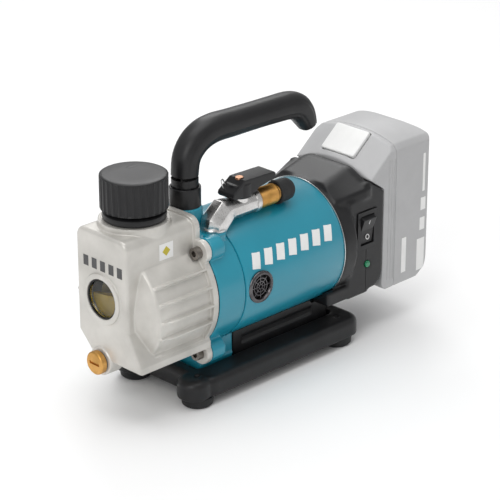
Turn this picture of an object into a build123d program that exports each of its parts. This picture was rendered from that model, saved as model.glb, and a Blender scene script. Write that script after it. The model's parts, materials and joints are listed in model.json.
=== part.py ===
"""Battery-powered refrigeration vacuum pump, as an assembly of separate pieces.

The frame is in millimetres.  X runs along the machine: the oil tank is at -X and
the slide-on battery at +X.  Z is up and the feet stand on Z = 0.  The origin is
below the middle of the whole machine.
"""

import os
from math import cos, radians, sin

from build123d import *

os.makedirs("parts", exist_ok=True)

# ---------------------------------------------------------------- driving sizes
axis_z = 76.9             # height of the motor and pump axis
housing_r = 45.6          # outer radius of the teal motor tube
housing_wall = 2.6
housing_front = -50.0
housing_rear = 49.3

tank_front = -141.5       # flat face with the sight glass
tank_rear = -75.8
tank_near = -24.5         # flat side of the tank, towards the valve
tank_far = 26.0
tank_top = 134.0
tank_bottom = 41.3
tank_wall = 4.5
bulge_r = 42.0            # round pump end of the tank
flange_r = 45.0
flange_front = -80.5
screw_y = 30.0
screw_top_z = 112.0
screw_bottom_z = 36.4
lug_r = 8.4

sight_z = 87.0
glass_r = 14.3
drain_y = 3.0
drain_z = 40.0
drain_head_front = -148.2

cap_x = -111.2
cap_r = 23.4
cap_top = 169.3
cap_skirt = 146.0
neck_r = 16.0

leg_x = -64.5             # front leg of the carrying handle
grip_r = 9.8
collar_top = 148.0
bracket_top = 134.0

valve_y = -18.0
valve_z = 128.8
valve_pad_z = 118.4
stem_x = -30.0
elbow_x = -55.0
elbow_r = 7.4
thread_r = 6.35           # half inch flare thread
fitting_collar_r = 7.2    # plain part of the flare fitting, outside the dust cap
fitting_collar_end = 3.6
port_end = 14.8

panel_y = 38.4            # flat sides of the rear housing
deck_x = 83.0             # face that the battery slides along
cheek_end = 98.5
hood_top = 129.0
switch_x = 80.1
switch_z = 85.0

pack_half = 38.0          # half width of the battery
pack_back = 150.2
pack_seam = 112.0
pack_side_top = 137.5     # where the flat sides of the battery end and its arched top begins
pack_crown = 147.6
slope_x = 84.6            # lower end of the nose slope, in the middle
slope_z = 130.2
slope_dir = (0.776, 0, 0.6307)
slope_up = (-0.6307, 0, 0.776)
slope_sag = 7.5           # how much lower the slope is at the battery's sides
channel_half = 27.6       # half width of the channel that the battery's tongue slides in

base_front = -88.0        # edge of the crosspiece, between the two rounded front corners
base_rear = 72.5
base_half = 44.0
base_bottom = 7.0
base_top = 21.0
base_corner_r = 12.0
deck_floor = 14.5         # lowered middle of the base, which the pedestal stands on
foot_front_x = -85.0
foot_rear_x = 56.0
foot_y = 32.0
pedestal_front = -40.5
pedestal_rear = 57.0
pedestal_half = 22.0

shaft_r = 5.0
running_gap = 0.05
slide_gap = 0.35

motor_axis = Axis((0, 0, axis_z), (1, 0, 0))
feet_places = [(x, y) for x in (foot_front_x, foot_rear_x) for y in (-foot_y, foot_y)]
bracket_screw_places = [(-57.0, -12.0), (-57.0, 12.0)]
pedestal_screw_places = [(-20.0, 0.0), (30.0, 0.0)]
plate_screw_places = bracket_screw_places + pedestal_screw_places
tank_screw_places = [(y, z) for z in (screw_bottom_z, screw_top_z) for y in (-screw_y, screw_y)]
cover_screw_places = [(-20.0, 41.0), (20.0, 41.0), (-20.0, 104.0), (20.0, 104.0)]
rib_angles = [33.4, 16.7, 0.0, -16.5, -38.5]


def tank_outline(inset):
    """Corners of the tank's front face as (y, z), moved inwards by inset."""
    near = tank_near + inset
    far = tank_far - inset
    top = tank_top - inset
    bottom = tank_bottom + inset
    return [
        (near, top),
        (near, 68.0),
        (-36.5 + 1.4 * inset, bottom + 5.0),
        (-36.5 + 1.4 * inset, bottom),
        (10.5 - 0.4 * inset, bottom),
        (far, 57.0 + 0.4 * inset),
        (far, top),
    ]


def pack_outline():
    """Side view of the battery behind its rails, as (x, z) corners."""
    return [
        (99.0, 33.0),
        (103.0, 29.5),
        (138.0, 30.0),
        (146.5, 35.5),
        (pack_back, 45.0),
        (pack_back, 139.5),
        (148.8, 143.5),
        (145.0, 146.6),
        (139.0, 147.6),
        (106.0, 147.6),
        (slope_x, slope_z),
        (84.0, 121.5),
        (99.0, 111.2),
    ]


def pack_hollow():
    """Side view of the space for the cells, as (x, z) corners."""
    return [
        (103.5, 33.5),
        (137.0, 33.5),
        (pack_back - 4.4, 44.0),
        (pack_back - 4.4, 132.0),
        (138.0, 138.5),
        (110.0, 137.5),
        (103.5, 131.0),
    ]


# ------------------------------------------------------------------ stand: base
with BuildPart() as base:
    with BuildSketch(Plane.XY.offset(base_bottom)):
        with Locations(((base_front + base_rear) / 2, 0)):
            RectangleRounded(base_rear - base_front, 2 * base_half, base_corner_r - 0.1)
        with Locations(*[(base_front, side * (base_half - base_corner_r)) for side in (-1, 1)]):
            Circle(base_corner_r)
    extrude(amount=base_top - base_bottom)
    fillet(base.faces().sort_by(Axis.Z)[-1].edges(), radius=5.0)
    # the middle of the plate is lower than its two side bars
    with BuildSketch(Plane.XY.offset(deck_floor)):
        with Locations((-8.5, 0)):
            RectangleRounded(136.0, 49.4, 4.0)
    extrude(amount=base_top, mode=Mode.SUBTRACT)
    # hollow underside between the foot pockets
    with BuildSketch(Plane.XY.offset(base_bottom)):
        with Locations((-14.5, -foot_y), (-14.5, foot_y)):
            Rectangle(98.0, 15.0)
        with Locations((-13.0, 0)):
            Rectangle(100.0, 34.0)
    extrude(amount=6.0, mode=Mode.SUBTRACT)
    # pockets that the rubber feet sit in
    with BuildSketch(Plane.XY.offset(base_bottom)):
        with Locations(*feet_places):
            Circle(10.0)
    extrude(amount=3.0, mode=Mode.SUBTRACT)
    with Locations(*[(x, y, base_top) for x, y in feet_places]):
        Hole(radius=1.7)
    with Locations(*[(x, y, base_top) for x, y in plate_screw_places]):
        Hole(radius=2.05)
base.part.label = "base"
export_step(base.part, "parts/base.step")

with BuildPart() as feet:
    for x, y in feet_places:
        with BuildSketch(Plane.XZ.offset(-y)):
            with BuildLine():
                Polyline(
                    (x + 4.0, 0),
                    (x + 9.6, 0),
                    (x + 11.0, 1.4),
                    (x + 11.6, base_bottom),
                    (x + 9.9, base_bottom),
                    (x + 9.9, base_bottom + 3.0),
                    (x + 1.8, base_bottom + 3.0),
                    (x + 1.8, 4.0),
                    (x + 4.0, 4.0),
                    close=True,
                )
            make_face()
        revolve(axis=Axis((x, y, 0), (0, 0, 1)))
feet.part.label = "feet"
export_step(feet.part, "parts/feet.step")

with BuildPart() as foot_screws:
    for x, y in feet_places:
        with BuildSketch(Plane.XY.offset(1.6)):
            with Locations((x, y)):
                Circle(3.8)
        extrude(amount=2.4)
        with BuildSketch(Plane.XY.offset(4.0)):
            with Locations((x, y)):
                Circle(1.65)
        extrude(amount=12.0)
foot_screws.part.label = "foot_screws"
export_step(foot_screws.part, "parts/foot_screws.step")

# ------------------------------------------------- pedestal under the motor tube
with BuildPart() as pedestal:
    with BuildSketch(Plane.XY.offset(deck_floor)):
        with Locations(((pedestal_front + pedestal_rear) / 2, 0)):
            RectangleRounded(pedestal_rear - pedestal_front, 2 * pedestal_half, 2.0)
    extrude(amount=24.0)
    # its rear end is lower, to clear the rear housing
    with BuildSketch(Plane.XY.offset(33.9)):
        with Locations((54.0, 0)):
            Rectangle(30.0, 50.0)
    extrude(amount=12.0, mode=Mode.SUBTRACT)
    with BuildSketch(Plane.YZ.offset(-60.0)):
        with Locations((0, axis_z)):
            Circle(housing_r)
    extrude(amount=140.0, mode=Mode.SUBTRACT)
    with BuildSketch(Plane.XY.offset(deck_floor)):
        with Locations(*pedestal_screw_places):
            Circle(2.05)
    extrude(amount=8.0, mode=Mode.SUBTRACT)
    # flat recess on each long side, with the rib that divides it
    for side in (-1, 1):
        with BuildSketch(Plane.XZ.offset(side * pedestal_half)):
            with Locations((4.0, 28.0)):
                Rectangle(72.0, 6.0)
        extrude(amount=-side * 0.8, mode=Mode.SUBTRACT)
pedestal.part.label = "pedestal"
export_step(pedestal.part, "parts/pedestal.step")

with BuildPart() as pedestal_screws:
    with BuildSketch(Plane.XY.offset(8.5)):
        with Locations(*pedestal_screw_places):
            Circle(4.0)
    extrude(amount=3.1)
    with BuildSketch(Plane.XY.offset(11.6)):
        with Locations(*pedestal_screw_places):
            Circle(2.0)
    extrude(amount=9.0)
pedestal_screws.part.label = "pedestal_screws"
export_step(pedestal_screws.part, "parts/pedestal_screws.step")

# ------------------------------------------- teal casting that carries the pump
bracket_front = -75.0
with BuildPart() as front_bracket:
    with BuildSketch(Plane.YZ.offset(bracket_front)):
        with Locations((0, axis_z)):
            Circle(housing_r - 0.4)
    extrude(amount=housing_front - 0.4 - bracket_front)
    # four screw columns behind the tank's lugs
    with BuildSketch(Plane.YZ.offset(bracket_front)):
        with Locations(*tank_screw_places):
            Circle(lug_r)
        with Locations((0, screw_bottom_z + 4.0)):
            Rectangle(2 * screw_y, 18.0)
    extrude(amount=12.0)
    # tower that holds the handle
    with BuildSketch(Plane.XY.offset(axis_z + 30.0)):
        with Locations((leg_x, 0)):
            RectangleRounded(21.0, 27.0, 8.0)
    extrude(amount=bracket_top - axis_z - 30.0, taper=3.0)
    # pad that the intake valve screws into
    with BuildSketch(Plane.XY.offset(axis_z + 28.0)):
        with Locations((elbow_x - 4.0, valve_y)):
            RectangleRounded(17.0, 22.0, 5.0)
    extrude(amount=valve_pad_z - axis_z - 28.0)
    # foot that stands in the lowered middle of the base, with a lip along its edge
    with BuildSketch(Plane.YZ.offset(bracket_front)):
        with Locations((0, (deck_floor + 43.0) / 2)):
            Rectangle(47.8, 43.0 - deck_floor)
    extrude(amount=-43.0 - bracket_front)
    with BuildSketch(Plane.YZ.offset(bracket_front)):
        with Locations((0, base_top + 1.6)):
            Rectangle(49.4, 1.6)
    extrude(amount=-43.0 - bracket_front)
    # room for the motor tube
    with BuildSketch(Plane.YZ.offset(housing_front - 0.4)):
        with Locations((0, axis_z)):
            Circle(housing_r + 0.1)
    extrude(amount=20.0, mode=Mode.SUBTRACT)
    # bearing bore, shaft bore and the hollow behind the pump
    with BuildSketch(Plane.YZ.offset(housing_front - 0.4)):
        with Locations((0, axis_z)):
            Circle(13.0)
    extrude(amount=-8.0, mode=Mode.SUBTRACT)
    with BuildSketch(Plane.YZ.offset(bracket_front)):
        with Locations((0, axis_z)):
            Circle(9.0)
    extrude(amount=7.0, mode=Mode.SUBTRACT)
    with BuildSketch(Plane.YZ.offset(bracket_front - 1.0)):
        with Locations((0, axis_z)):
            Circle(shaft_r + 0.6)
    extrude(amount=30.0, mode=Mode.SUBTRACT)
    with BuildSketch(Plane.YZ.offset(housing_front - 0.4)):
        with Locations((0, axis_z)):
            Circle(39.0)
            Circle(17.0, mode=Mode.SUBTRACT)
    extrude(amount=-10.0, mode=Mode.SUBTRACT)
    with BuildSketch(Plane.YZ.offset(bracket_front)):
        with Locations(*tank_screw_places):
            Circle(2.5)
    extrude(amount=10.0, mode=Mode.SUBTRACT)
    # intake passage, room for the valve's elbow and the handle's bolt hole
    with BuildSketch(Plane.XY.offset(valve_pad_z)):
        with Locations((elbow_x, valve_y)):
            Circle(5.0)
    extrude(amount=-9.0, mode=Mode.SUBTRACT)
    with BuildSketch(Plane.XY.offset(valve_pad_z)):
        with Locations((elbow_x, valve_y)):
            Circle(elbow_r + 0.4)
    extrude(amount=22.0, mode=Mode.SUBTRACT)
    with BuildSketch(Plane.YZ.offset(elbow_x - 4.4)):
        with Locations((valve_y, valve_z)):
            Circle(9.0)
    extrude(amount=20.0, mode=Mode.SUBTRACT)
    with BuildSketch(Plane.XY.offset(14.0)):
        with Locations(*bracket_screw_places):
            Circle(2.05)
    extrude(amount=8.0, mode=Mode.SUBTRACT)
    with BuildSketch(Plane.XY.offset(bracket_top)):
        with Locations((leg_x, 0)):
            Circle(3.0)
    extrude(amount=-14.0, mode=Mode.SUBTRACT)
front_bracket.part.label = "front_bracket"
export_step(front_bracket.part, "parts/front_bracket.step")

with BuildPart() as bracket_screws:
    with BuildSketch(Plane.XY.offset(8.5)):
        with Locations(*bracket_screw_places):
            Circle(4.0)
    extrude(amount=3.1)
    with BuildSketch(Plane.XY.offset(11.6)):
        with Locations(*bracket_screw_places):
            Circle(2.0)
    extrude(amount=9.0)
bracket_screws.part.label = "bracket_screws"
export_step(bracket_screws.part, "parts/bracket_screws.step")

# --------------------------------------------------------------------- oil tank
with BuildPart() as tank:
    # round end that the pump sits in, cut level with the tank's floor
    with BuildSketch(Plane.XZ):
        with BuildLine():
            Polyline(
                (-136.0, axis_z),
                (-136.0, axis_z + 22.0),
                (-128.0, axis_z + bulge_r - 1.0),
                (-126.5, axis_z + bulge_r),
                (tank_rear, axis_z + bulge_r),
                (tank_rear, axis_z),
                close=True,
            )
        make_face()
    revolve(axis=motor_axis)
    # cooling ribs on both round sides
    for side in (-1, 1):
        for angle in rib_angles:
            direction = (0, side * cos(radians(angle)), sin(radians(angle)))
            with BuildSketch(Plane(origin=(-126.0, 0, axis_z), x_dir=direction, z_dir=(1, 0, 0))):
                with Locations((bulge_r - 1.5, 0)):
                    Rectangle(7.0, 2.0)
            extrude(amount=44.0)
    with BuildSketch(Plane.XY.offset(tank_bottom)):
        with Locations((-105.0, 0)):
            Rectangle(90.0, 120.0)
    extrude(amount=-30.0, mode=Mode.SUBTRACT)
    with BuildSketch(Plane.YZ.offset(tank_front)):
        with BuildLine():
            Polyline(*tank_outline(0.0), close=True)
        make_face()
    extrude(amount=tank_rear - tank_front)
    top_edges = tank.edges().filter_by(Axis.X).filter_by_position(Axis.Z, tank_top - 0.1, tank_top + 0.1)
    fillet(top_edges, radius=7.0)
    fillet(tank.faces().filter_by(Axis.X).sort_by(Axis.X)[0].edges(), radius=2.5)
    # bolting flange with its four lugs
    with BuildSketch(Plane.YZ.offset(flange_front)):
        with Locations((0, axis_z)):
            Circle(flange_r)
        with Locations(*tank_screw_places):
            Circle(lug_r)
        with Locations((0, screw_bottom_z + 7.0)):
            Rectangle(2 * screw_y, 14.0)
        with Locations((0.5, tank_top - 10.0)):
            RectangleRounded(54.0, 23.0, 8.0)
    extrude(amount=tank_rear - flange_front)
    # neck for the filler, ring round the sight glass and boss of the drain
    with BuildSketch(Plane.XY.offset(tank_top - 4.0)):
        with Locations((cap_x, 0.5)):
            Circle(24.6)
    extrude(amount=8.0)
    with BuildSketch(Plane.YZ.offset(tank_front - 1.6)):
        with Locations((0, sight_z)):
            Circle(18.2)
    extrude(amount=4.0)
    with BuildSketch(Plane.YZ.offset(tank_front - 1.0)):
        with Locations((drain_y, drain_z)):
            Circle(10.2)
    extrude(amount=12.0)
    # pocket round each screw head
    with BuildSketch(Plane.YZ.offset(flange_front)):
        with Locations(*tank_screw_places):
            Circle(5.6)
    extrude(amount=-5.0, mode=Mode.SUBTRACT)
    # inside of the tank
    with BuildSketch(Plane.YZ.offset(tank_front + tank_wall)):
        with BuildLine():
            Polyline(*tank_outline(tank_wall), close=True)
        make_face()
    extrude(amount=tank_rear - tank_front - tank_wall, mode=Mode.SUBTRACT)
    with BuildSketch(Plane.YZ.offset(-124.0)):
        with Locations((0, axis_z)):
            Circle(bulge_r - tank_wall)
        with Locations((0, tank_bottom - 10.0 + tank_wall)):
            Rectangle(100.0, 20.0, mode=Mode.SUBTRACT)
    extrude(amount=tank_rear + 124.0, mode=Mode.SUBTRACT)
    # openings for the glass, the drain plug, the filler and the screws
    with BuildSketch(Plane.YZ.offset(tank_front - 5.0)):
        with Locations((0, sight_z)):
            Circle(glass_r + 0.1)
    extrude(amount=12.0, mode=Mode.SUBTRACT)
    with BuildSketch(Plane.YZ.offset(tank_front - 5.0)):
        with Locations((drain_y, drain_z)):
            Circle(5.06)
    extrude(amount=15.0, mode=Mode.SUBTRACT)
    with BuildSketch(Plane.XY.offset(tank_top - 10.0)):
        with Locations((cap_x, 0)):
            Circle(neck_r - 3.0)
    extrude(amount=20.0, mode=Mode.SUBTRACT)
    with BuildSketch(Plane.YZ.offset(flange_front - 6.0)):
        with Locations(*tank_screw_places):
            Circle(2.7)
    extrude(amount=12.0, mode=Mode.SUBTRACT)
tank.part.label = "tank"
export_step(tank.part, "parts/tank.step")

with BuildPart() as tank_gasket:
    with BuildSketch(Plane.YZ.offset(tank_rear)):
        with Locations((0, axis_z)):
            Circle(flange_r - 0.4)
            Circle(39.5, mode=Mode.SUBTRACT)
        with Locations((0, tank_top - 9.0)):
            Rectangle(80.0, 60.0, mode=Mode.SUBTRACT)
    extrude(amount=bracket_front - tank_rear)
tank_gasket.part.label = "tank_gasket"
export_step(tank_gasket.part, "parts/tank_gasket.step")

with BuildPart() as tank_screws:
    for y, z in tank_screw_places:
        with BuildSketch(Plane.YZ.offset(flange_front - 4.6)):
            with Locations((y, z)):
                Circle(4.3)
        extrude(amount=4.6)
        with BuildSketch(Plane.YZ.offset(flange_front - 4.6)):
            with Locations((y, z)):
                RegularPolygon(radius=2.4, side_count=6)
        extrude(amount=2.6, mode=Mode.SUBTRACT)
        with BuildSketch(Plane.YZ.offset(flange_front)):
            with Locations((y, z)):
                Circle(2.45)
        extrude(amount=15.0)
tank_screws.part.label = "tank_screws"
export_step(tank_screws.part, "parts/tank_screws.step")

with BuildPart() as sight_glass:
    with BuildSketch(Plane.YZ.offset(tank_front - 0.4)):
        with Locations((0, sight_z)):
            Circle(glass_r - 1.0)
    extrude(amount=4.4)
sight_glass.part.label = "sight_glass"
export_step(sight_glass.part, "parts/sight_glass.step")

with BuildPart() as sight_glass_seal:
    with BuildSketch(Plane.YZ.offset(tank_front - 0.8)):
        with Locations((0, sight_z)):
            Circle(glass_r)
            Circle(glass_r - 0.95, mode=Mode.SUBTRACT)
    extrude(amount=4.8)
sight_glass_seal.part.label = "sight_glass_seal"
export_step(sight_glass_seal.part, "parts/sight_glass_seal.step")

with BuildPart() as drain_plug:
    with BuildSketch(Plane.YZ.offset(drain_head_front)):
        with Locations((drain_y, drain_z)):
            Circle(8.4)
    extrude(amount=4.6)
    chamfer(drain_plug.faces().sort_by(Axis.X)[0].edges(), length=0.9)
    with BuildSketch(Plane.YZ.offset(drain_head_front)):
        with Locations((drain_y, drain_z)):
            Rectangle(10.0, 1.8)
    extrude(amount=1.6, mode=Mode.SUBTRACT)
    with BuildSketch(Plane.YZ.offset(drain_head_front + 4.6)):
        with Locations((drain_y, drain_z)):
            Circle(5.0)
    extrude(amount=11.0)
drain_plug.part.label = "drain_plug"
export_step(drain_plug.part, "parts/drain_plug.step")

with BuildPart() as drain_seal:
    with BuildSketch(Plane.YZ.offset(drain_head_front + 4.6 + 0.05)):
        with Locations((drain_y, drain_z)):
            Circle(7.4)
            Circle(5.06, mode=Mode.SUBTRACT)
    extrude(amount=1.0)
drain_seal.part.label = "drain_seal"
export_step(drain_seal.part, "parts/drain_seal.step")

# -------------------------------------------------------- oil filler and its cap
with BuildPart() as filler_neck:
    with BuildSketch(Plane.XY.offset(138.0)):
        with Locations((cap_x, 0)):
            Circle(21.8)
            Circle(neck_r - 3.0, mode=Mode.SUBTRACT)
    extrude(amount=6.0)
    fillet(filler_neck.faces().sort_by(Axis.Z)[-1].edges().sort_by(SortBy.LENGTH)[-1], radius=1.5)
    with BuildSketch(Plane.XY.offset(144.0)):
        with Locations((cap_x, 0)):
            Circle(neck_r)
            Circle(neck_r - 3.0, mode=Mode.SUBTRACT)
    extrude(amount=18.2)
filler_neck.part.label = "filler_neck"
export_step(filler_neck.part, "parts/filler_neck.step")

with BuildPart() as oil_cap:
    with BuildSketch(Plane.XZ):
        with BuildLine():
            Polyline(
                (cap_x, cap_top - 5.0),
                (cap_x, cap_top - 0.8),
                (cap_x + cap_r - 2.2, cap_top - 0.2),
                (cap_x + cap_r - 0.6, cap_top - 1.2),
                (cap_x + cap_r - 0.6, cap_skirt + 0.8),
                (cap_x + cap_r - 1.6, cap_skirt),
                (cap_x + cap_r - 4.0, cap_skirt),
                (cap_x + cap_r - 4.0, cap_top - 5.0),
                close=True,
            )
        make_face()
    revolve(axis=Axis((cap_x, 0, 0), (0, 0, 1)))
    # grip ribs
    with BuildSketch(Plane.XY.offset(cap_skirt + 1.0)):
        with Locations((cap_x, 0)):
            with PolarLocations(cap_r - 1.0, 32):
                Rectangle(2.0, 2.2)
    extrude(amount=cap_top - cap_skirt - 4.0)
    with BuildSketch(Plane.XY.offset(cap_top - 1.5)):
        with Locations((cap_x, 0)):
            Rectangle(13.0, 5.0)
    extrude(amount=1.1)
oil_cap.part.label = "oil_cap"
export_step(oil_cap.part, "parts/oil_cap.step")

with BuildPart() as oil_cap_seal:
    with BuildSketch(Plane.XY.offset(162.25)):
        with Locations((cap_x, 0)):
            Circle(neck_r)
            Circle(neck_r - 2.6, mode=Mode.SUBTRACT)
    extrude(amount=2.0)
oil_cap_seal.part.label = "oil_cap_seal"
export_step(oil_cap_seal.part, "parts/oil_cap_seal.step")

with BuildPart() as exhaust_filter:
    with BuildSketch(Plane.XY.offset(118.0)):
        with Locations((cap_x, 0)):
            Circle(12.7)
            Circle(6.0, mode=Mode.SUBTRACT)
    extrude(amount=36.0)
exhaust_filter.part.label = "exhaust_filter"
export_step(exhaust_filter.part, "parts/exhaust_filter.step")

# ---------------------------------------------------------------- carrying handle
with BuildPart() as handle:
    with BuildLine():
        FilletPolyline(
            (leg_x, 0, bracket_top + 2.0),
            (leg_x, 0, 184.6),
            (46.0, 0, 179.0),
            (54.0, 0, 162.0),
            radius=[27.0, 13.0],
        )
    with BuildSketch(Plane.XY.offset(bracket_top + 2.0)):
        with Locations((leg_x, 0)):
            Circle(grip_r)
    sweep()
    fillet(handle.faces().sort_by(Axis.X)[-1].edges(), radius=5.5)
    with BuildSketch(Plane.XY.offset(bracket_top + 2.0)):
        with Locations((leg_x, 0)):
            Circle(3.0)
    extrude(amount=16.0, mode=Mode.SUBTRACT)
handle.part.label = "handle"
export_step(handle.part, "parts/handle.step")

with BuildPart() as handle_collar:
    with BuildSketch(Plane.XY.offset(bracket_top)):
        with Locations((leg_x, 0)):
            Circle(11.1)
    extrude(amount=collar_top - bracket_top)
    fillet(handle_collar.faces().sort_by(Axis.Z)[-1].edges(), radius=0.6)
    with BuildSketch(Plane.XY.offset(bracket_top + 2.0)):
        with Locations((leg_x, 0)):
            Circle(grip_r + 0.02)
    extrude(amount=20.0, mode=Mode.SUBTRACT)
    with BuildSketch(Plane.XY.offset(bracket_top - 1.0)):
        with Locations((leg_x, 0)):
            Circle(3.0)
    extrude(amount=4.0, mode=Mode.SUBTRACT)
handle_collar.part.label = "handle_collar"
export_step(handle_collar.part, "parts/handle_collar.step")

with BuildPart() as handle_bolt:
    with BuildSketch(Plane.XY.offset(bracket_top - 12.0)):
        with Locations((leg_x, 0)):
            Circle(2.95)
    extrude(amount=28.0)
handle_bolt.part.label = "handle_bolt"
export_step(handle_bolt.part, "parts/handle_bolt.step")

# ------------------------------------------------------------------- motor housing
with BuildPart() as motor_housing:
    with BuildSketch(Plane.YZ.offset(housing_front)):
        with Locations((0, axis_z)):
            Circle(housing_r)
    extrude(amount=housing_rear - housing_front)
    fillet(motor_housing.faces().filter_by(Axis.X).edges(), radius=1.0)
    with BuildSketch(Plane.YZ.offset(housing_front - 1.0)):
        with Locations((0, axis_z)):
            Circle(housing_r - housing_wall)
    extrude(amount=housing_rear - housing_front + 2.0, mode=Mode.SUBTRACT)
    with BuildSketch(Plane.XZ.offset(-60.0)):
        with Locations((-36.0, axis_z + 0.6)):
            Circle(9.6)
    extrude(amount=120.0, mode=Mode.SUBTRACT)
motor_housing.part.label = "motor_housing"
export_step(motor_housing.part, "parts/motor_housing.step")

with BuildPart() as vent_grilles:
    for side in (-1, 1):
        # spigot, bezel and the wheel-shaped grille behind it
        with BuildSketch(Plane.XZ.offset(side * 42.0)):
            with Locations((-36.0, axis_z + 0.6)):
                Circle(9.5)
        extrude(amount=side * 4.6)
        with BuildSketch(Plane.XZ.offset(side * 45.62)):
            with Locations((-36.0, axis_z + 0.6)):
                Circle(12.0)
        extrude(amount=side * 1.2, taper=35)
        with BuildSketch(Plane.XZ.offset(side * 45.2)):
            with Locations((-36.0, axis_z + 0.6)):
                Circle(8.0)
        extrude(amount=side * 3.0, mode=Mode.SUBTRACT)
        with BuildSketch(Plane.XZ.offset(side * 40.0)):
            with Locations((-36.0, axis_z + 0.6)):
                with PolarLocations(5.6, 10):
                    Circle(1.1)
                with PolarLocations(2.6, 5):
                    Circle(0.9)
        extrude(amount=side * 8.0, mode=Mode.SUBTRACT)
vent_grilles.part.label = "vent_grilles"
export_step(vent_grilles.part, "parts/vent_grilles.step")

# ---------------------------------------------------------------------- inner pump
with BuildPart() as pump_rear_plate:
    with BuildSketch(Plane.YZ.offset(-83.0)):
        with Locations((0, axis_z)):
            Circle(31.0)
            Circle(shaft_r + running_gap, mode=Mode.SUBTRACT)
    extrude(amount=8.0)
pump_rear_plate.part.label = "pump_rear_plate"
export_step(pump_rear_plate.part, "parts/pump_rear_plate.step")

chamber_r = 21.55
chamber_offset = 2.5
rotor_r = 19.0
with BuildPart() as pump_ring:
    with BuildSketch(Plane.YZ.offset(-107.0)):
        with Locations((0, axis_z)):
            Circle(30.0)
        with Locations((0, axis_z + 37.0)):
            Rectangle(60.0, 20.0, mode=Mode.SUBTRACT)
        with Locations((0, axis_z + chamber_offset)):
            Circle(chamber_r, mode=Mode.SUBTRACT)
    extrude(amount=24.0)
pump_ring.part.label = "pump_ring"
export_step(pump_ring.part, "parts/pump_ring.step")

with BuildPart() as pump_front_plate:
    with BuildSketch(Plane.YZ.offset(-115.0)):
        with Locations((0, axis_z)):
            Circle(30.0)
            Circle(shaft_r + running_gap, mode=Mode.SUBTRACT)
    extrude(amount=8.0)
pump_front_plate.part.label = "pump_front_plate"
export_step(pump_front_plate.part, "parts/pump_front_plate.step")

with BuildPart() as pump_bolts:
    with BuildSketch(Plane.YZ.offset(-119.0)):
        with Locations((0, axis_z)):
            with PolarLocations(26.0, 4, start_angle=30):
                RegularPolygon(radius=3.6, side_count=6)
    extrude(amount=4.0)
pump_bolts.part.label = "pump_bolts"
export_step(pump_bolts.part, "parts/pump_bolts.step")

with BuildPart() as exhaust_reed:
    with BuildSketch(Plane.XY.offset(axis_z + 27.0)):
        with Locations((-95.0, 0)):
            Rectangle(18.0, 10.0)
    extrude(amount=0.6)
exhaust_reed.part.label = "exhaust_reed"
export_step(exhaust_reed.part, "parts/exhaust_reed.step")

with BuildPart() as reed_stop:
    with BuildSketch(Plane.XY.offset(axis_z + 27.6)):
        with Locations((-95.0, 0)):
            Rectangle(20.0, 11.0)
    extrude(amount=2.0)
reed_stop.part.label = "reed_stop"
export_step(reed_stop.part, "parts/reed_stop.step")

vane_half = 1.5
with BuildPart() as pump_rotor:
    with BuildSketch(Plane.YZ.offset(-107.0 + running_gap)):
        with Locations((0, axis_z)):
            Circle(rotor_r)
            Circle(shaft_r, mode=Mode.SUBTRACT)
            with PolarLocations(13.5, 2):
                Rectangle(11.4, 2 * vane_half, mode=Mode.SUBTRACT)
    extrude(amount=24.0 - 2 * running_gap)
pump_rotor.part.label = "pump_rotor"
export_step(pump_rotor.part, "parts/pump_rotor.step")

with BuildPart() as pump_vanes:
    with BuildSketch(Plane.YZ.offset(-107.0 + running_gap)):
        with Locations((0, axis_z)):
            with PolarLocations(13.4, 2):
                Rectangle(11.0, 2 * vane_half - 0.1)
    extrude(amount=24.0 - 2 * running_gap)
pump_vanes.part.label = "pump_vanes"
export_step(pump_vanes.part, "parts/pump_vanes.step")

with BuildPart() as drive_shaft:
    with BuildSketch(Plane.YZ.offset(-113.0)):
        with Locations((0, axis_z)):
            Circle(shaft_r)
    extrude(amount=163.0)
drive_shaft.part.label = "drive_shaft"
export_step(drive_shaft.part, "parts/drive_shaft.step")

with BuildPart() as shaft_seal:
    with BuildSketch(Plane.YZ.offset(bracket_front + 0.2)):
        with Locations((0, axis_z)):
            Circle(8.95)
            Circle(shaft_r + running_gap, mode=Mode.SUBTRACT)
    extrude(amount=6.0)
shaft_seal.part.label = "shaft_seal"
export_step(shaft_seal.part, "parts/shaft_seal.step")

with BuildPart() as bearings:
    for start in (-58.2, 42.0):
        with BuildSketch(Plane.YZ.offset(start)):
            with Locations((0, axis_z)):
                Circle(12.95)
                Circle(shaft_r + running_gap, mode=Mode.SUBTRACT)
        extrude(amount=7.0)
bearings.part.label = "bearings"
export_step(bearings.part, "parts/bearings.step")

# -------------------------------------------------------------------- motor inside
with BuildPart() as motor_stator:
    with BuildSketch(Plane.YZ.offset(-26.0)):
        with Locations((0, axis_z)):
            Circle(housing_r - housing_wall - 0.4)
            Circle(25.0, mode=Mode.SUBTRACT)
            with PolarLocations(30.5, 12):
                Rectangle(9.0, 4.0, mode=Mode.SUBTRACT)
    extrude(amount=42.0)
motor_stator.part.label = "motor_stator"
export_step(motor_stator.part, "parts/motor_stator.step")

with BuildPart() as motor_coils:
    for start in (-34.0, 16.0):
        with BuildSketch(Plane.YZ.offset(start)):
            with Locations((0, axis_z)):
                Circle(36.0)
                Circle(26.5, mode=Mode.SUBTRACT)
        extrude(amount=8.0)
motor_coils.part.label = "motor_coils"
export_step(motor_coils.part, "parts/motor_coils.step")

with BuildPart() as motor_rotor:
    with BuildSketch(Plane.YZ.offset(-26.0)):
        with Locations((0, axis_z)):
            Circle(24.4)
            Circle(shaft_r, mode=Mode.SUBTRACT)
    extrude(amount=42.0)
motor_rotor.part.label = "motor_rotor"
export_step(motor_rotor.part, "parts/motor_rotor.step")

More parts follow.
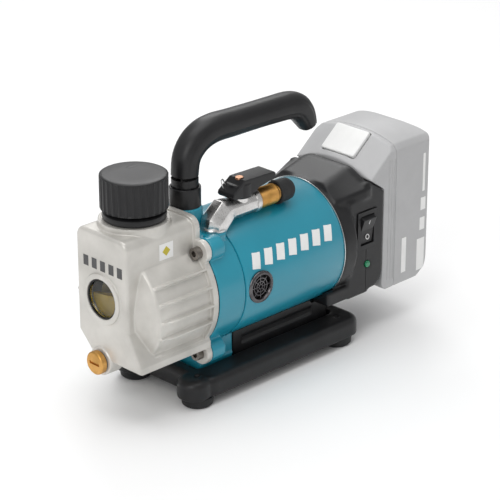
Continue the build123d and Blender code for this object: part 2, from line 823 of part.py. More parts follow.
with BuildPart() as cooling_fan:
    with BuildSketch(Plane.YZ.offset(28.0)):
        with Locations((0, axis_z)):
            Circle(38.0)
            Circle(shaft_r, mode=Mode.SUBTRACT)
    extrude(amount=1.8)
    with BuildSketch(Plane.YZ.offset(29.8)):
        with Locations((0, axis_z)):
            Circle(10.0)
            Circle(shaft_r, mode=Mode.SUBTRACT)
            with PolarLocations(24.0, 9):
                Rectangle(27.0, 1.6, rotation=20)
    extrude(amount=9.0)
cooling_fan.part.label = "cooling_fan"
export_step(cooling_fan.part, "parts/cooling_fan.step")

with BuildPart() as motor_end_plate:
    with BuildSketch(Plane.YZ.offset(42.0)):
        with Locations((0, axis_z)):
            Circle(housing_r - housing_wall - 0.2)
            Circle(13.0, mode=Mode.SUBTRACT)
            with PolarLocations(29.0, 6):
                Circle(8.0, mode=Mode.SUBTRACT)
    extrude(amount=6.0)
motor_end_plate.part.label = "motor_end_plate"
export_step(motor_end_plate.part, "parts/motor_end_plate.step")

# --------------------------------------------------------------------- intake valve
with BuildPart() as valve_body:
    with BuildSketch(Plane.YZ.offset(elbow_x - 4.0)):
        with Locations((valve_y, valve_z)):
            RegularPolygon(radius=7.9, side_count=8, rotation=22.5)
    extrude(amount=-14.0 - elbow_x + 4.0)
    # elbow down into the casting
    with BuildSketch(Plane.XY.offset(valve_pad_z)):
        with Locations((elbow_x, valve_y)):
            Circle(elbow_r)
    extrude(amount=valve_z + 7.0 - valve_pad_z)
    with BuildSketch(Plane.YZ.offset(-50.6)):
        with Locations((0, axis_z)):
            Circle(housing_r + 0.3)
    extrude(amount=20.0, mode=Mode.SUBTRACT)
    with BuildSketch(Plane.XY.offset(valve_pad_z)):
        with Locations((elbow_x, valve_y)):
            Circle(4.9)
    extrude(amount=-8.0)
    # gland that the stem comes out of
    with BuildSketch(Plane.XY.offset(valve_z)):
        with Locations((stem_x, valve_y)):
            Circle(6.6)
    extrude(amount=9.4)
    # bore, ball seat, stem bore and fitting thread
    with BuildSketch(Plane.YZ.offset(elbow_x)):
        with Locations((valve_y, valve_z)):
            Circle(3.0)
    extrude(amount=50.0, mode=Mode.SUBTRACT)
    with BuildSketch(Plane.YZ.offset(-21.0)):
        with Locations((valve_y, valve_z)):
            Circle(5.5)
    extrude(amount=20.0, mode=Mode.SUBTRACT)
    with BuildSketch(Plane.XZ.offset(-valve_y)):
        with BuildLine():
            ThreePointArc(
                (stem_x, valve_z - 5.4), (stem_x + 5.4, valve_z), (stem_x, valve_z + 5.4)
            )
            Line((stem_x, valve_z + 5.4), (stem_x, valve_z - 5.4))
        make_face()
    revolve(axis=Axis((stem_x, valve_y, 0), (0, 0, 1)), mode=Mode.SUBTRACT)
    with BuildSketch(Plane.XY.offset(valve_z)):
        with Locations((stem_x, valve_y)):
            Circle(2.5 + running_gap)
    extrude(amount=12.0, mode=Mode.SUBTRACT)
valve_body.part.label = "valve_body"
export_step(valve_body.part, "parts/valve_body.step")

with BuildPart() as valve_ball:
    with BuildSketch(Plane.XZ.offset(-valve_y)):
        with BuildLine():
            ThreePointArc(
                (stem_x, valve_z - 5.3), (stem_x + 5.3, valve_z), (stem_x, valve_z + 5.3)
            )
            Line((stem_x, valve_z + 5.3), (stem_x, valve_z - 5.3))
        make_face()
    revolve(axis=Axis((stem_x, valve_y, 0), (0, 0, 1)))
    with BuildSketch(Plane.YZ.offset(stem_x - 8.0)):
        with Locations((valve_y, valve_z)):
            Circle(3.0)
    extrude(amount=16.0, mode=Mode.SUBTRACT)
    with BuildSketch(Plane.XY.offset(valve_z + 4.6)):
        with Locations((stem_x, valve_y)):
            Circle(2.5)
    extrude(amount=3.0, mode=Mode.SUBTRACT)
valve_ball.part.label = "valve_ball"
export_step(valve_ball.part, "parts/valve_ball.step")

with BuildPart() as valve_stem:
    with BuildSketch(Plane.XY.offset(valve_z + 4.6)):
        with Locations((stem_x, valve_y)):
            Circle(2.5)
    extrude(amount=145.0 - valve_z - 4.6)
valve_stem.part.label = "valve_stem"
export_step(valve_stem.part, "parts/valve_stem.step")

with BuildPart() as valve_lever:
    with BuildSketch(Plane.XZ.offset(-valve_y + 8.0)):
        with BuildLine():
            Polyline(
                (-43.4, 139.6),
                (-42.8, 141.8),
                (-31.5, 149.6),
                (-3.4, 149.0),
                (-2.0, 147.8),
                (-2.0, 144.0),
                (-18.0, 141.2),
                (-22.0, 138.6),
                (-38.6, 137.6),
                (-42.0, 137.8),
                close=True,
            )
        make_face()
    extrude(amount=-16.0)
    fillet(valve_lever.edges().filter_by(Axis.Y), radius=0.7)
    with BuildSketch(Plane.XY.offset(136.4)):
        with Locations((stem_x, valve_y)):
            Circle(8.8)
    extrude(amount=10.0)
    # recess round the gland
    with BuildSketch(Plane.XY.offset(136.0)):
        with Locations((stem_x, valve_y)):
            Circle(7.0)
    extrude(amount=2.8, mode=Mode.SUBTRACT)
    with BuildSketch(Plane.XY.offset(136.0)):
        with Locations((stem_x, valve_y)):
            Circle(2.5)
    extrude(amount=9.0, mode=Mode.SUBTRACT)
    with BuildSketch(Plane.XY.offset(145.0)):
        with Locations((stem_x, valve_y)):
            Circle(1.6)
    extrude(amount=8.0, mode=Mode.SUBTRACT)
    with BuildSketch(Plane.XY.offset(148.2)):
        with Locations((stem_x, valve_y)):
            Circle(3.0)
    extrude(amount=4.0, mode=Mode.SUBTRACT)
valve_lever.part.label = "valve_lever"
export_step(valve_lever.part, "parts/valve_lever.step")

with BuildPart() as lever_screw:
    with BuildSketch(Plane.XY.offset(148.2)):
        with Locations((stem_x, valve_y)):
            Circle(2.8)
    extrude(amount=1.9)
    with BuildSketch(Plane.XY.offset(145.0)):
        with Locations((stem_x, valve_y)):
            Circle(1.55)
    extrude(amount=3.2)
lever_screw.part.label = "lever_screw"
export_step(lever_screw.part, "parts/lever_screw.step")

with BuildPart() as flare_fitting:
    with BuildSketch(Plane.YZ.offset(-14.0 - 5.0)):
        with Locations((valve_y, valve_z)):
            Circle(5.45)
    extrude(amount=5.0)
    with BuildSketch(Plane.YZ.offset(-14.0)):
        with Locations((valve_y, valve_z)):
            Circle(fitting_collar_r)
    extrude(amount=fitting_collar_end + 14.0)
    with BuildSketch(Plane.YZ.offset(fitting_collar_end)):
        with Locations((valve_y, valve_z)):
            Circle(thread_r)
    extrude(amount=port_end - 2.5 - fitting_collar_end)
    with BuildSketch(Plane.YZ.offset(port_end - 2.5)):
        with Locations((valve_y, valve_z)):
            Circle(thread_r - 0.8)
    extrude(amount=2.5, taper=40)
    with BuildSketch(Plane.YZ.offset(-20.0)):
        with Locations((valve_y, valve_z)):
            Circle(2.1)
    extrude(amount=40.0, mode=Mode.SUBTRACT)
flare_fitting.part.label = "flare_fitting"
export_step(flare_fitting.part, "parts/flare_fitting.step")

with BuildPart() as port_cap:
    with BuildSketch(Plane.YZ.offset(4.8)):
        with Locations((valve_y, valve_z)):
            Circle(8.6)
    extrude(amount=15.2)
    fillet(port_cap.faces().sort_by(Axis.X)[-1].edges(), radius=4.0)
    fillet(port_cap.faces().sort_by(Axis.X)[0].edges(), radius=0.5)
    with BuildSketch(Plane.YZ.offset(3.0)):
        with Locations((valve_y, valve_z)):
            Circle(thread_r + running_gap)
    extrude(amount=port_end - 2.4, mode=Mode.SUBTRACT)
port_cap.part.label = "port_cap"
export_step(port_cap.part, "parts/port_cap.step")

# -------------------------------------------------------- rear housing and controls
with BuildPart() as rear_housing:
    # round collar on the motor tube
    with BuildSketch(Plane.YZ.offset(housing_rear)):
        with Locations((0, axis_z)):
            Circle(46.2)
        with Locations((0, 19.5)):
            Rectangle(120.0, 30.0, mode=Mode.SUBTRACT)
    extrude(amount=14.0)
    # square body with the control panel
    with BuildSketch(Plane.YZ.offset(61.5)):
        with Locations((0, 72.0)):
            Rectangle(2 * panel_y, 76.0)
    extrude(amount=deck_x - 61.5)
    # hood over the top: it widens from the round collar to a flat-topped edge
    for x, half, side_z, corner_z, top_z in [
        (52.0, 33.5, 106.0, 112.0, 122.8),
        (77.0, 40.2, 110.5, 117.5, hood_top),
    ]:
        with BuildSketch(Plane.YZ.offset(x)):
            with BuildLine():
                Polyline(
                    (-half, side_z),
                    (-half, corner_z),
                    (-22.0, top_z - 0.9),
                    (-18.0, top_z),
                    (18.0, top_z),
                    (22.0, top_z - 0.9),
                    (half, corner_z),
                    (half, side_z),
                    (28.0, 96.0),
                    (-28.0, 96.0),
                    close=True,
                )
            make_face()
    loft()
    hood_rear = rear_housing.faces().filter_by(Axis.X).filter_by_position(Axis.X, 76.9, 77.1)
    extrude(hood_rear, amount=deck_x - 77.0)
    # cheeks beside the battery's rails, with rounded lower corners
    with BuildSketch(Plane.XZ.offset(panel_y)):
        with BuildLine():
            Polyline(
                (63.0, 36.0),
                (68.0, 34.5),
                (90.0, 36.5),
                (97.0, 41.0),
                (cheek_end, 46.0),
                (cheek_end, 110.6),
                (deck_x, 121.0),
                (78.0, 121.0),
                (78.0, 60.0),
                (63.0, 50.0),
                close=True,
            )
        make_face()
    extrude(amount=-2 * panel_y)
    with BuildSketch(Plane.YZ.offset(deck_x)):
        with Locations((0, 90.0)):
            Rectangle(2 * channel_half, 100.0)
    extrude(amount=30.0, mode=Mode.SUBTRACT)
    # low chin under the motor tube
    with BuildSketch(Plane.XZ.offset(panel_y)):
        with Locations((52.2, 40.2)):
            Rectangle(25.6, 10.6)
    extrude(amount=-2 * panel_y)
    with BuildSketch(Plane.YZ.offset(20.0)):
        with Locations((0, axis_z)):
            Circle(housing_r + 0.1)
    extrude(amount=housing_rear - 20.0, mode=Mode.SUBTRACT)
    # rails that guide the battery
    for side in (-1, 1):
        with BuildSketch(Plane.XY.offset(62.0)):
            with Locations((93.0, side * (channel_half - 1.0))):
                Rectangle(4.4, 5.0)
        extrude(amount=44.0)
    # inside
    with BuildSketch(Plane.YZ.offset(housing_rear - 1.0)):
        with Locations((0, axis_z)):
            Circle(41.0)
        with Locations((0, 30.0)):
            Rectangle(100.0, 16.0, mode=Mode.SUBTRACT)
    extrude(amount=15.0, mode=Mode.SUBTRACT)
    with BuildSketch(Plane.YZ.offset(63.0)):
        with Locations((0, 76.0)):
            Rectangle(2 * panel_y - 6.0, 74.0)
    extrude(amount=17.0, mode=Mode.SUBTRACT)
    # window for the rocker switch and hole for the lamp, in the near panel
    with BuildSketch(Plane.XZ.offset(panel_y - 6.0)):
        with Locations((switch_x, switch_z)):
            Rectangle(18.0, 27.0)
    extrude(amount=10.0, mode=Mode.SUBTRACT)
    with BuildSketch(Plane.XZ.offset(panel_y - 9.7)):
        with Locations((switch_x, switch_z)):
            Rectangle(18.0, 27.0)
    extrude(amount=10.0, mode=Mode.SUBTRACT)
    with BuildSketch(Plane.XZ.offset(panel_y - 6.0)):
        with Locations((switch_x + 1.6, 57.1)):
            Circle(2.6)
    extrude(amount=10.0, mode=Mode.SUBTRACT)
    # pockets of the four cover screws
    with BuildSketch(Plane.YZ.offset(deck_x - 3.0)):
        with Locations(*cover_screw_places):
            Circle(2.95)
    extrude(amount=4.0, mode=Mode.SUBTRACT)
    # recess for the terminal block
    with BuildSketch(Plane.YZ.offset(deck_x)):
        with Locations((0, 53.0)):
            Rectangle(46.0, 18.0)
    extrude(amount=-2.0, mode=Mode.SUBTRACT)
rear_housing.part.label = "rear_housing"
export_step(rear_housing.part, "parts/rear_housing.step")

with BuildPart() as switch_frame:
    with BuildSketch(Plane.XZ.offset(panel_y)):
        with Locations((switch_x, switch_z)):
            Rectangle(20.5, 29.5)
    extrude(amount=0.9)
    with BuildSketch(Plane.XZ.offset(panel_y - 9.6)):
        with Locations((switch_x, switch_z)):
            Rectangle(17.8, 26.8)
    extrude(amount=9.6)
    with BuildSketch(Plane.XZ.offset(panel_y - 8.0)):
        with Locations((switch_x, switch_z)):
            Rectangle(14.0, 23.0)
    extrude(amount=12.0, mode=Mode.SUBTRACT)
switch_frame.part.label = "switch_frame"
export_step(switch_frame.part, "parts/switch_frame.step")

# rocker: a shallow V that tilts about a pin across the switch, resting on "off"
rocker_pin_y = -(panel_y - 2.5)
with BuildPart() as switch_rocker:
    with BuildSketch(Plane.YZ.offset(switch_x - 6.6)):
        with BuildLine():
            Polyline(
                (rocker_pin_y + 3.0, switch_z - 4.0),
                (rocker_pin_y + 1.0, switch_z - 10.6),
                (rocker_pin_y - 2.1, switch_z - 10.9),
                (rocker_pin_y - 3.2, switch_z),
                (rocker_pin_y - 6.4, switch_z + 9.4),
                (rocker_pin_y - 2.5, switch_z + 10.9),
                (rocker_pin_y + 3.0, switch_z + 4.0),
                close=True,
            )
        make_face()
    extrude(amount=13.2)
switch_rocker.part.label = "switch_rocker"
export_step(switch_rocker.part, "parts/switch_rocker.step")

with BuildPart() as indicator_lens:
    with BuildSketch(Plane.XZ.offset(panel_y - 4.0)):
        with Locations((switch_x + 1.6, 57.1)):
            Circle(2.5)
    extrude(amount=5.0)
    fillet(indicator_lens.faces().sort_by(Axis.Y)[0].edges(), radius=0.9)
indicator_lens.part.label = "indicator_lens"
export_step(indicator_lens.part, "parts/indicator_lens.step")

with BuildPart() as control_board:
    with BuildSketch(Plane.YZ.offset(66.0)):
        with Locations((4.0, 76.0)):
            Rectangle(54.0, 56.0)
    extrude(amount=1.6)
control_board.part.label = "control_board"
export_step(control_board.part, "parts/control_board.step")

with BuildPart() as terminal_block:
    with BuildSketch(Plane.YZ.offset(deck_x - 2.0)):
        with Locations((0, 53.0)):
            Rectangle(45.8, 17.8)
    extrude(amount=12.0)
    fillet(terminal_block.edges().filter_by(Axis.Z).group_by(Axis.X)[-1], radius=2.0)
terminal_block.part.label = "terminal_block"
export_step(terminal_block.part, "parts/terminal_block.step")

blade_places = [-15.0, 0.0, 15.0]
with BuildPart() as terminal_blades:
    for y in blade_places:
        with BuildSketch(Plane.XY.offset(61.9)):
            with Locations((deck_x + 5.0, y)):
                Rectangle(6.0, 1.0)
        extrude(amount=9.0)
terminal_blades.part.label = "terminal_blades"
export_step(terminal_blades.part, "parts/terminal_blades.step")

with BuildPart() as housing_screws:
    with BuildSketch(Plane.YZ.offset(deck_x - 3.0)):
        with Locations(*cover_screw_places):
            Circle(2.9)
    extrude(amount=2.7)
housing_screws.part.label = "housing_screws"
export_step(housing_screws.part, "parts/housing_screws.step")

# ----------------------------------------------------------------- slide-on battery
with BuildPart() as battery_top:
    with BuildSketch(Plane.XZ.offset(pack_half)):
        with BuildLine():
            Polyline(*pack_outline(), close=True)
        make_face()
    extrude(amount=-2 * pack_half)
    # arched top, and a nose slope that falls away to the sides
    with BuildSketch(Plane.YZ.offset(pack_seam)):
        with BuildLine():
            Line((-pack_half, 0), (-pack_half, pack_side_top))
            Line((-pack_half, pack_side_top), (-pack_half + 3.2, pack_side_top + 4.4))
            ThreePointArc(
                (-pack_half + 3.2, pack_side_top + 4.4),
                (0, pack_crown),
                (pack_half - 3.2, pack_side_top + 4.4),
            )
            Line((pack_half - 3.2, pack_side_top + 4.4), (pack_half, pack_side_top))
            Line((pack_half, pack_side_top), (pack_half, 0))
            Line((pack_half, 0), (-pack_half, 0))
        make_face()
    extrude(amount=60.0, both=True, mode=Mode.INTERSECT)
    with BuildSketch(Plane(origin=(slope_x, 0, slope_z), x_dir=(0, 1, 0), z_dir=slope_dir)):
        with BuildLine():
            Line((-pack_half - 1.0, -160.0), (-pack_half - 1.0, -slope_sag))
            ThreePointArc((-pack_half - 1.0, -slope_sag), (0, 0), (pack_half + 1.0, -slope_sag))
            Line((pack_half + 1.0, -slope_sag), (pack_half + 1.0, -160.0))
            Line((pack_half + 1.0, -160.0), (-pack_half - 1.0, -160.0))
        make_face()
    extrude(amount=140.0, both=True, mode=Mode.INTERSECT)
    # hollow for the cells
    with BuildSketch(Plane.XZ.offset(pack_half - 2.2)):
        with BuildLine():
            Polyline(*pack_hollow(), close=True)
        make_face()
    extrude(amount=-2 * pack_half + 4.4, mode=Mode.SUBTRACT)
    # tongue that slides between the cheeks, with a groove for each rail
    with BuildSketch(Plane.XY.offset(62.8)):
        with Locations((91.7, 0)):
            Rectangle(16.0, 2 * (channel_half - slide_gap))
        with Locations((93.0, -channel_half), (93.0, channel_half)):
            Rectangle(4.4 + 2 * slide_gap, 7.0 + 2 * slide_gap, mode=Mode.SUBTRACT)
    extrude(amount=49.5)
    with BuildSketch(Plane.XY.offset(34.0)):
        with Locations((98.0, 0)):
            Rectangle(4.0, 2 * channel_half - 6.0)
    extrude(amount=29.0)
    with BuildSketch(Plane.XY.offset(62.0)):
        with Locations(*[(deck_x + 5.0, y) for y in blade_places]):
            Rectangle(7.0, 2.0)
    extrude(amount=12.0, mode=Mode.SUBTRACT)
    # pocket in the nose for the release button
    with BuildSketch(Plane(origin=(96.57, 0, 141.18), x_dir=(0, 1, 0), z_dir=slope_up)):
        Rectangle(33.0, 24.0)
    extrude(amount=-8.5, mode=Mode.SUBTRACT)
    split(bisect_by=Plane.YZ.offset(pack_seam), keep=Keep.BOTTOM)
battery_top.part.label = "battery_top"
export_step(battery_top.part, "parts/battery_top.step")

with BuildPart() as battery_case:
    with BuildSketch(Plane.XZ.offset(pack_half)):
        with BuildLine():
            Polyline(*pack_outline(), close=True)
        make_face()
    extrude(amount=-2 * pack_half)
    # arched top, and a nose slope that falls away to the sides
    with BuildSketch(Plane.YZ.offset(pack_seam)):
        with BuildLine():
            Line((-pack_half, 0), (-pack_half, pack_side_top))
            Line((-pack_half, pack_side_top), (-pack_half + 3.2, pack_side_top + 4.4))
            ThreePointArc(
                (-pack_half + 3.2, pack_side_top + 4.4),
                (0, pack_crown),
                (pack_half - 3.2, pack_side_top + 4.4),
            )
            Line((pack_half - 3.2, pack_side_top + 4.4), (pack_half, pack_side_top))
            Line((pack_half, pack_side_top), (pack_half, 0))
            Line((pack_half, 0), (-pack_half, 0))
        make_face()
    extrude(amount=60.0, both=True, mode=Mode.INTERSECT)
    with BuildSketch(Plane(origin=(slope_x, 0, slope_z), x_dir=(0, 1, 0), z_dir=slope_dir)):
        with BuildLine():
            Line((-pack_half - 1.0, -160.0), (-pack_half - 1.0, -slope_sag))
            ThreePointArc((-pack_half - 1.0, -slope_sag), (0, 0), (pack_half + 1.0, -slope_sag))
            Line((pack_half + 1.0, -slope_sag), (pack_half + 1.0, -160.0))
            Line((pack_half + 1.0, -160.0), (-pack_half - 1.0, -160.0))
        make_face()
    extrude(amount=140.0, both=True, mode=Mode.INTERSECT)
    fillet(battery_case.edges().filter_by(Axis.Z).group_by(Axis.X)[-1], radius=3.5)
    with BuildSketch(Plane.XZ.offset(pack_half - 2.2)):
        with BuildLine():
            Polyline(*pack_hollow(), close=True)
        make_face()
    extrude(amount=-2 * pack_half + 4.4, mode=Mode.SUBTRACT)
    split(bisect_by=Plane.YZ.offset(pack_seam), keep=Keep.TOP)
battery_case.part.label = "battery_case"
export_step(battery_case.part, "parts/battery_case.step")

cell_r = 9.1
with BuildPart() as battery_cells:
    with BuildSketch(Plane.XZ.offset(32.5)):
        for row in range(5):
            with Locations((117.0, 46.5 + 18.6 * row), (135.6, 46.5 + 18.6 * row)):
                Circle(cell_r)
    extrude(amount=-65.0)
battery_cells.part.label = "battery_cells"
export_step(battery_cells.part, "parts/battery_cells.step")

with BuildPart() as battery_button:
    with BuildSketch(Plane(origin=(99.1, 0, 138.1), x_dir=(0, 1, 0), z_dir=slope_up)):
        RectangleRounded(32.2, 23.2, 1.5)
    extrude(amount=3.6)
    fillet(battery_button.faces().sort_by(Axis.Z)[-1].edges(), radius=0.6)
battery_button.part.label = "battery_button"
export_step(battery_button.part, "parts/battery_button.step")
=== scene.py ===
"""The looks of the battery-powered vacuum pump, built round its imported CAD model.

All sizes are in metres, in the frame of the CAD model: X runs from the oil tank to
the battery, Y from the side with the switch to the far side, and Z up.
"""

import json
import math

import bpy
from mathutils import Matrix, Vector


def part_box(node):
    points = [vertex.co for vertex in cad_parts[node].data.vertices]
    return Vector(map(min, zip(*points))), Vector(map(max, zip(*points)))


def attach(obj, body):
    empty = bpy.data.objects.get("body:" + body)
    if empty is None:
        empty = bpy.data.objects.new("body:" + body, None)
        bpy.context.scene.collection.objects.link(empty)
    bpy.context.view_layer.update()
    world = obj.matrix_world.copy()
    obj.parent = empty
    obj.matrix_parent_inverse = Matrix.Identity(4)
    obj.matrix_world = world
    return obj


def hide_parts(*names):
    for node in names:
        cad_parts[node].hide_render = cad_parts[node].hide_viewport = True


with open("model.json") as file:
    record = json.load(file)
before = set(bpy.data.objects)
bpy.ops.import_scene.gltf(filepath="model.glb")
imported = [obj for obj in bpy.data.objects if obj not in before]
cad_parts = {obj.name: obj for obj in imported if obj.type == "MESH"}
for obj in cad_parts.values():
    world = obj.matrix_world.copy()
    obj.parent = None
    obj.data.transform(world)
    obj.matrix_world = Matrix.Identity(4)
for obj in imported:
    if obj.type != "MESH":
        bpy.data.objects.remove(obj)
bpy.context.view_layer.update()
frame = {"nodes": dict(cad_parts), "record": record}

NODES = frame["nodes"]

# radius at which a turned outline starts or ends on its axis
ON_AXIS = 0.00001
ROUND_STEPS = 96
TUBE_STEPS = 160


# ------------------------------------------------------------------ work methods
def choose(piece):
    """Selects one piece alone and makes it the active one."""
    if bpy.context.object and bpy.context.object.mode == "EDIT":
        bpy.ops.object.mode_set(mode="OBJECT")
    bpy.ops.object.select_all(action="DESELECT")
    piece.select_set(True)
    bpy.context.view_layer.objects.active = piece


def apply_modifiers(piece):
    """Applies every modifier of a piece, in order."""
    choose(piece)
    for modifier in list(piece.modifiers):
        bpy.ops.object.modifier_apply(modifier=modifier.name)


def settle(piece, name):
    """Names a piece and puts its place and turn into its mesh."""
    piece.name = name
    piece.data.name = name
    choose(piece)
    bpy.ops.object.transform_apply(location=True, rotation=True, scale=True)
    return piece


def shade(piece, degrees=35.0):
    """Smooth shading that keeps edges sharper than the given angle."""
    choose(piece)
    bpy.ops.object.shade_smooth_by_angle(angle=math.radians(degrees))


def join(pieces, name):
    """Joins several pieces into one."""
    bpy.ops.object.select_all(action="DESELECT")
    for piece in pieces:
        piece.select_set(True)
    bpy.context.view_layer.objects.active = pieces[0]
    bpy.ops.object.join()
    return settle(pieces[0], name)


def dress(piece, body, material, stands_for=()):
    """Gives a new piece its material and body, and hides the CAD nodes it stands for."""
    piece.data.materials.clear()
    piece.data.materials.append(material)
    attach(piece, body)
    if stands_for:
        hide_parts(*stands_for)
    return piece


def soften(node, name, voxel, passes, keep):
    """A copy of a CAD solid whose edges are rounded as a casting or moulding's are."""
    piece = NODES[node].copy()
    piece.data = NODES[node].data.copy()
    for key in list(piece.keys()):
        del piece[key]
    piece.parent = None
    bpy.context.scene.collection.objects.link(piece)
    piece.name = name
    piece.data.name = name
    choose(piece)
    bpy.ops.object.mode_set(mode="EDIT")
    bpy.ops.mesh.select_all(action="SELECT")
    bpy.ops.mesh.remove_doubles(threshold=0.00001)
    bpy.ops.object.mode_set(mode="OBJECT")
    skin = piece.modifiers.new("even skin", "REMESH")
    skin.mode = "VOXEL"
    skin.voxel_size = voxel
    skin.use_smooth_shade = True
    rounding = piece.modifiers.new("rounded edges", "SMOOTH")
    rounding.factor = 0.5
    rounding.iterations = passes
    thinning = piece.modifiers.new("fewer faces", "DECIMATE")
    thinning.ratio = keep
    apply_modifiers(piece)
    shade(piece, 60.0)
    return piece


def turned(name, outline, centre, axis, steps=64):
    """A turned piece: outline is (along the axis, radius) points, spun about the axis."""
    bpy.ops.object.select_all(action="DESELECT")
    bpy.ops.mesh.primitive_plane_add(size=0.001, location=(0, 0, 0))
    piece = bpy.context.object
    bpy.ops.object.mode_set(mode="EDIT")
    bpy.ops.mesh.select_mode(type="VERT")
    bpy.ops.mesh.select_all(action="SELECT")
    bpy.ops.mesh.merge(type="CENTER")
    first = outline[0]
    bpy.ops.transform.translate(value=(first[1], 0, first[0]))
    for before, after in zip(outline, outline[1:]):
        step = (after[1] - before[1], 0, after[0] - before[0])
        bpy.ops.mesh.extrude_region_move(TRANSFORM_OT_translate={"value": step})
    bpy.ops.mesh.select_all(action="SELECT")
    bpy.ops.mesh.spin(steps=steps, angle=math.tau, center=(0, 0, 0), axis=(0, 0, 1))
    bpy.ops.mesh.select_all(action="SELECT")
    bpy.ops.mesh.remove_doubles(threshold=0.000002)
    bpy.ops.mesh.normals_make_consistent(inside=False)
    bpy.ops.object.mode_set(mode="OBJECT")
    piece.rotation_mode = "QUATERNION"
    piece.rotation_quaternion = Vector(axis).to_track_quat("Z", "Y")
    piece.location = centre
    settle(piece, name)
    shade(piece)
    return piece


def block(name, low, high, bevel, segments=3):
    """A block with rounded edges between two corners."""
    size = [b - a for a, b in zip(low, high)]
    middle = [(a + b) / 2 for a, b in zip(low, high)]
    bpy.ops.object.select_all(action="DESELECT")
    bpy.ops.mesh.primitive_cube_add(size=1, location=middle)
    piece = bpy.context.object
    piece.scale = size
    settle(piece, name)
    bpy.ops.object.mode_set(mode="EDIT")
    bpy.ops.mesh.select_all(action="SELECT")
    bpy.ops.mesh.bevel(offset=bevel, segments=segments)
    bpy.ops.object.mode_set(mode="OBJECT")
    shade(piece)
    return piece


def swept(name, path, section):
    """A bar swept along (x, y, z, size) points, with a section of (across, up) points."""
    outline = bpy.data.curves.new(name + "_section", "CURVE")
    loop = outline.splines.new("POLY")
    loop.points.add(len(section) - 1)
    for point, (across, up) in zip(loop.points, section):
        point.co = (across, up, 0, 1)
    loop.use_cyclic_u = True
    profile = bpy.data.objects.new(name + "_section", outline)
    bpy.context.scene.collection.objects.link(profile)
    run = bpy.data.curves.new(name, "CURVE")
    run.dimensions = "3D"
    run.bevel_mode = "OBJECT"
    run.bevel_object = profile
    run.use_fill_caps = True
    run.twist_mode = "Z_UP"
    line = run.splines.new("POLY")
    line.points.add(len(path) - 1)
    for point, (x, y, z, size) in zip(line.points, path):
        point.co = (x, y, z, 1)
        point.radius = size
    piece = bpy.data.objects.new(name, run)
    bpy.context.scene.collection.objects.link(piece)
    choose(piece)
    bpy.ops.object.convert(target="MESH")
    bpy.data.objects.remove(profile)
    bpy.ops.object.mode_set(mode="EDIT")
    bpy.ops.mesh.select_all(action="SELECT")
    bpy.ops.mesh.remove_doubles(threshold=0.000005)
    bpy.ops.mesh.normals_make_consistent(inside=False)
    bpy.ops.object.mode_set(mode="OBJECT")
    return settle(piece, name)


def rounded(path, steps=5):
    """Points between the given ones, on a smooth curve through them."""
    points = []
    last = len(path) - 1
    for number in range(last):
        before = path[max(number - 1, 0)]
        start = path[number]
        end = path[number + 1]
        after = path[min(number + 2, last)]
        for step in range(steps):
            t = step / steps
            points.append(
                tuple(
                    0.5
                    * (
                        2 * b
                        + (c - a) * t
                        + (2 * a - 5 * b + 4 * c - d) * t * t
                        + (3 * b - a - 3 * c + d) * t * t * t
                    )
                    for a, b, c, d in zip(before, start, end, after)
                )
            )
    points.append(path[last])
    return points


def patch(name, centre, across, up, width, height, cuts=8):
    """A flat sheet that faces away from the object: across x up points outwards."""
    bpy.ops.object.select_all(action="DESELECT")
    bpy.ops.mesh.primitive_grid_add(x_subdivisions=cuts, y_subdivisions=cuts, size=1)
    piece = bpy.context.object
    piece.scale = (width, height, 1)
    across = Vector(across).normalized()
    up = Vector(up).normalized()
    turn = Matrix((across, up, across.cross(up))).transposed()
    piece.rotation_mode = "QUATERNION"
    piece.rotation_quaternion = turn.to_quaternion()
    piece.location = centre
    return settle(piece, name)


def stick(piece, surface, lift=0.00004, thickness=0.00006):
    """Lays a sheet on a surface, as a printed film."""
    cling = piece.modifiers.new("laid on", "SHRINKWRAP")
    cling.target = surface
    cling.wrap_method = "NEAREST_SURFACEPOINT"
    cling.wrap_mode = "ABOVE_SURFACE"
    cling.offset = lift
    film = piece.modifiers.new("film", "SOLIDIFY")
    film.thickness = thickness
    film.offset = 1
    apply_modifiers(piece)
    shade(piece, 40)
    return piece


def carve(piece, cutter):
    """Cuts the cutter's shape out of a piece and removes the cutter."""
    cut = piece.modifiers.new("cut out", "BOOLEAN")
    cut.object = cutter
    cut.operation = "DIFFERENCE"
    cut.solver = "EXACT"
    apply_modifiers(piece)
    bpy.data.objects.remove(cutter)
    return piece


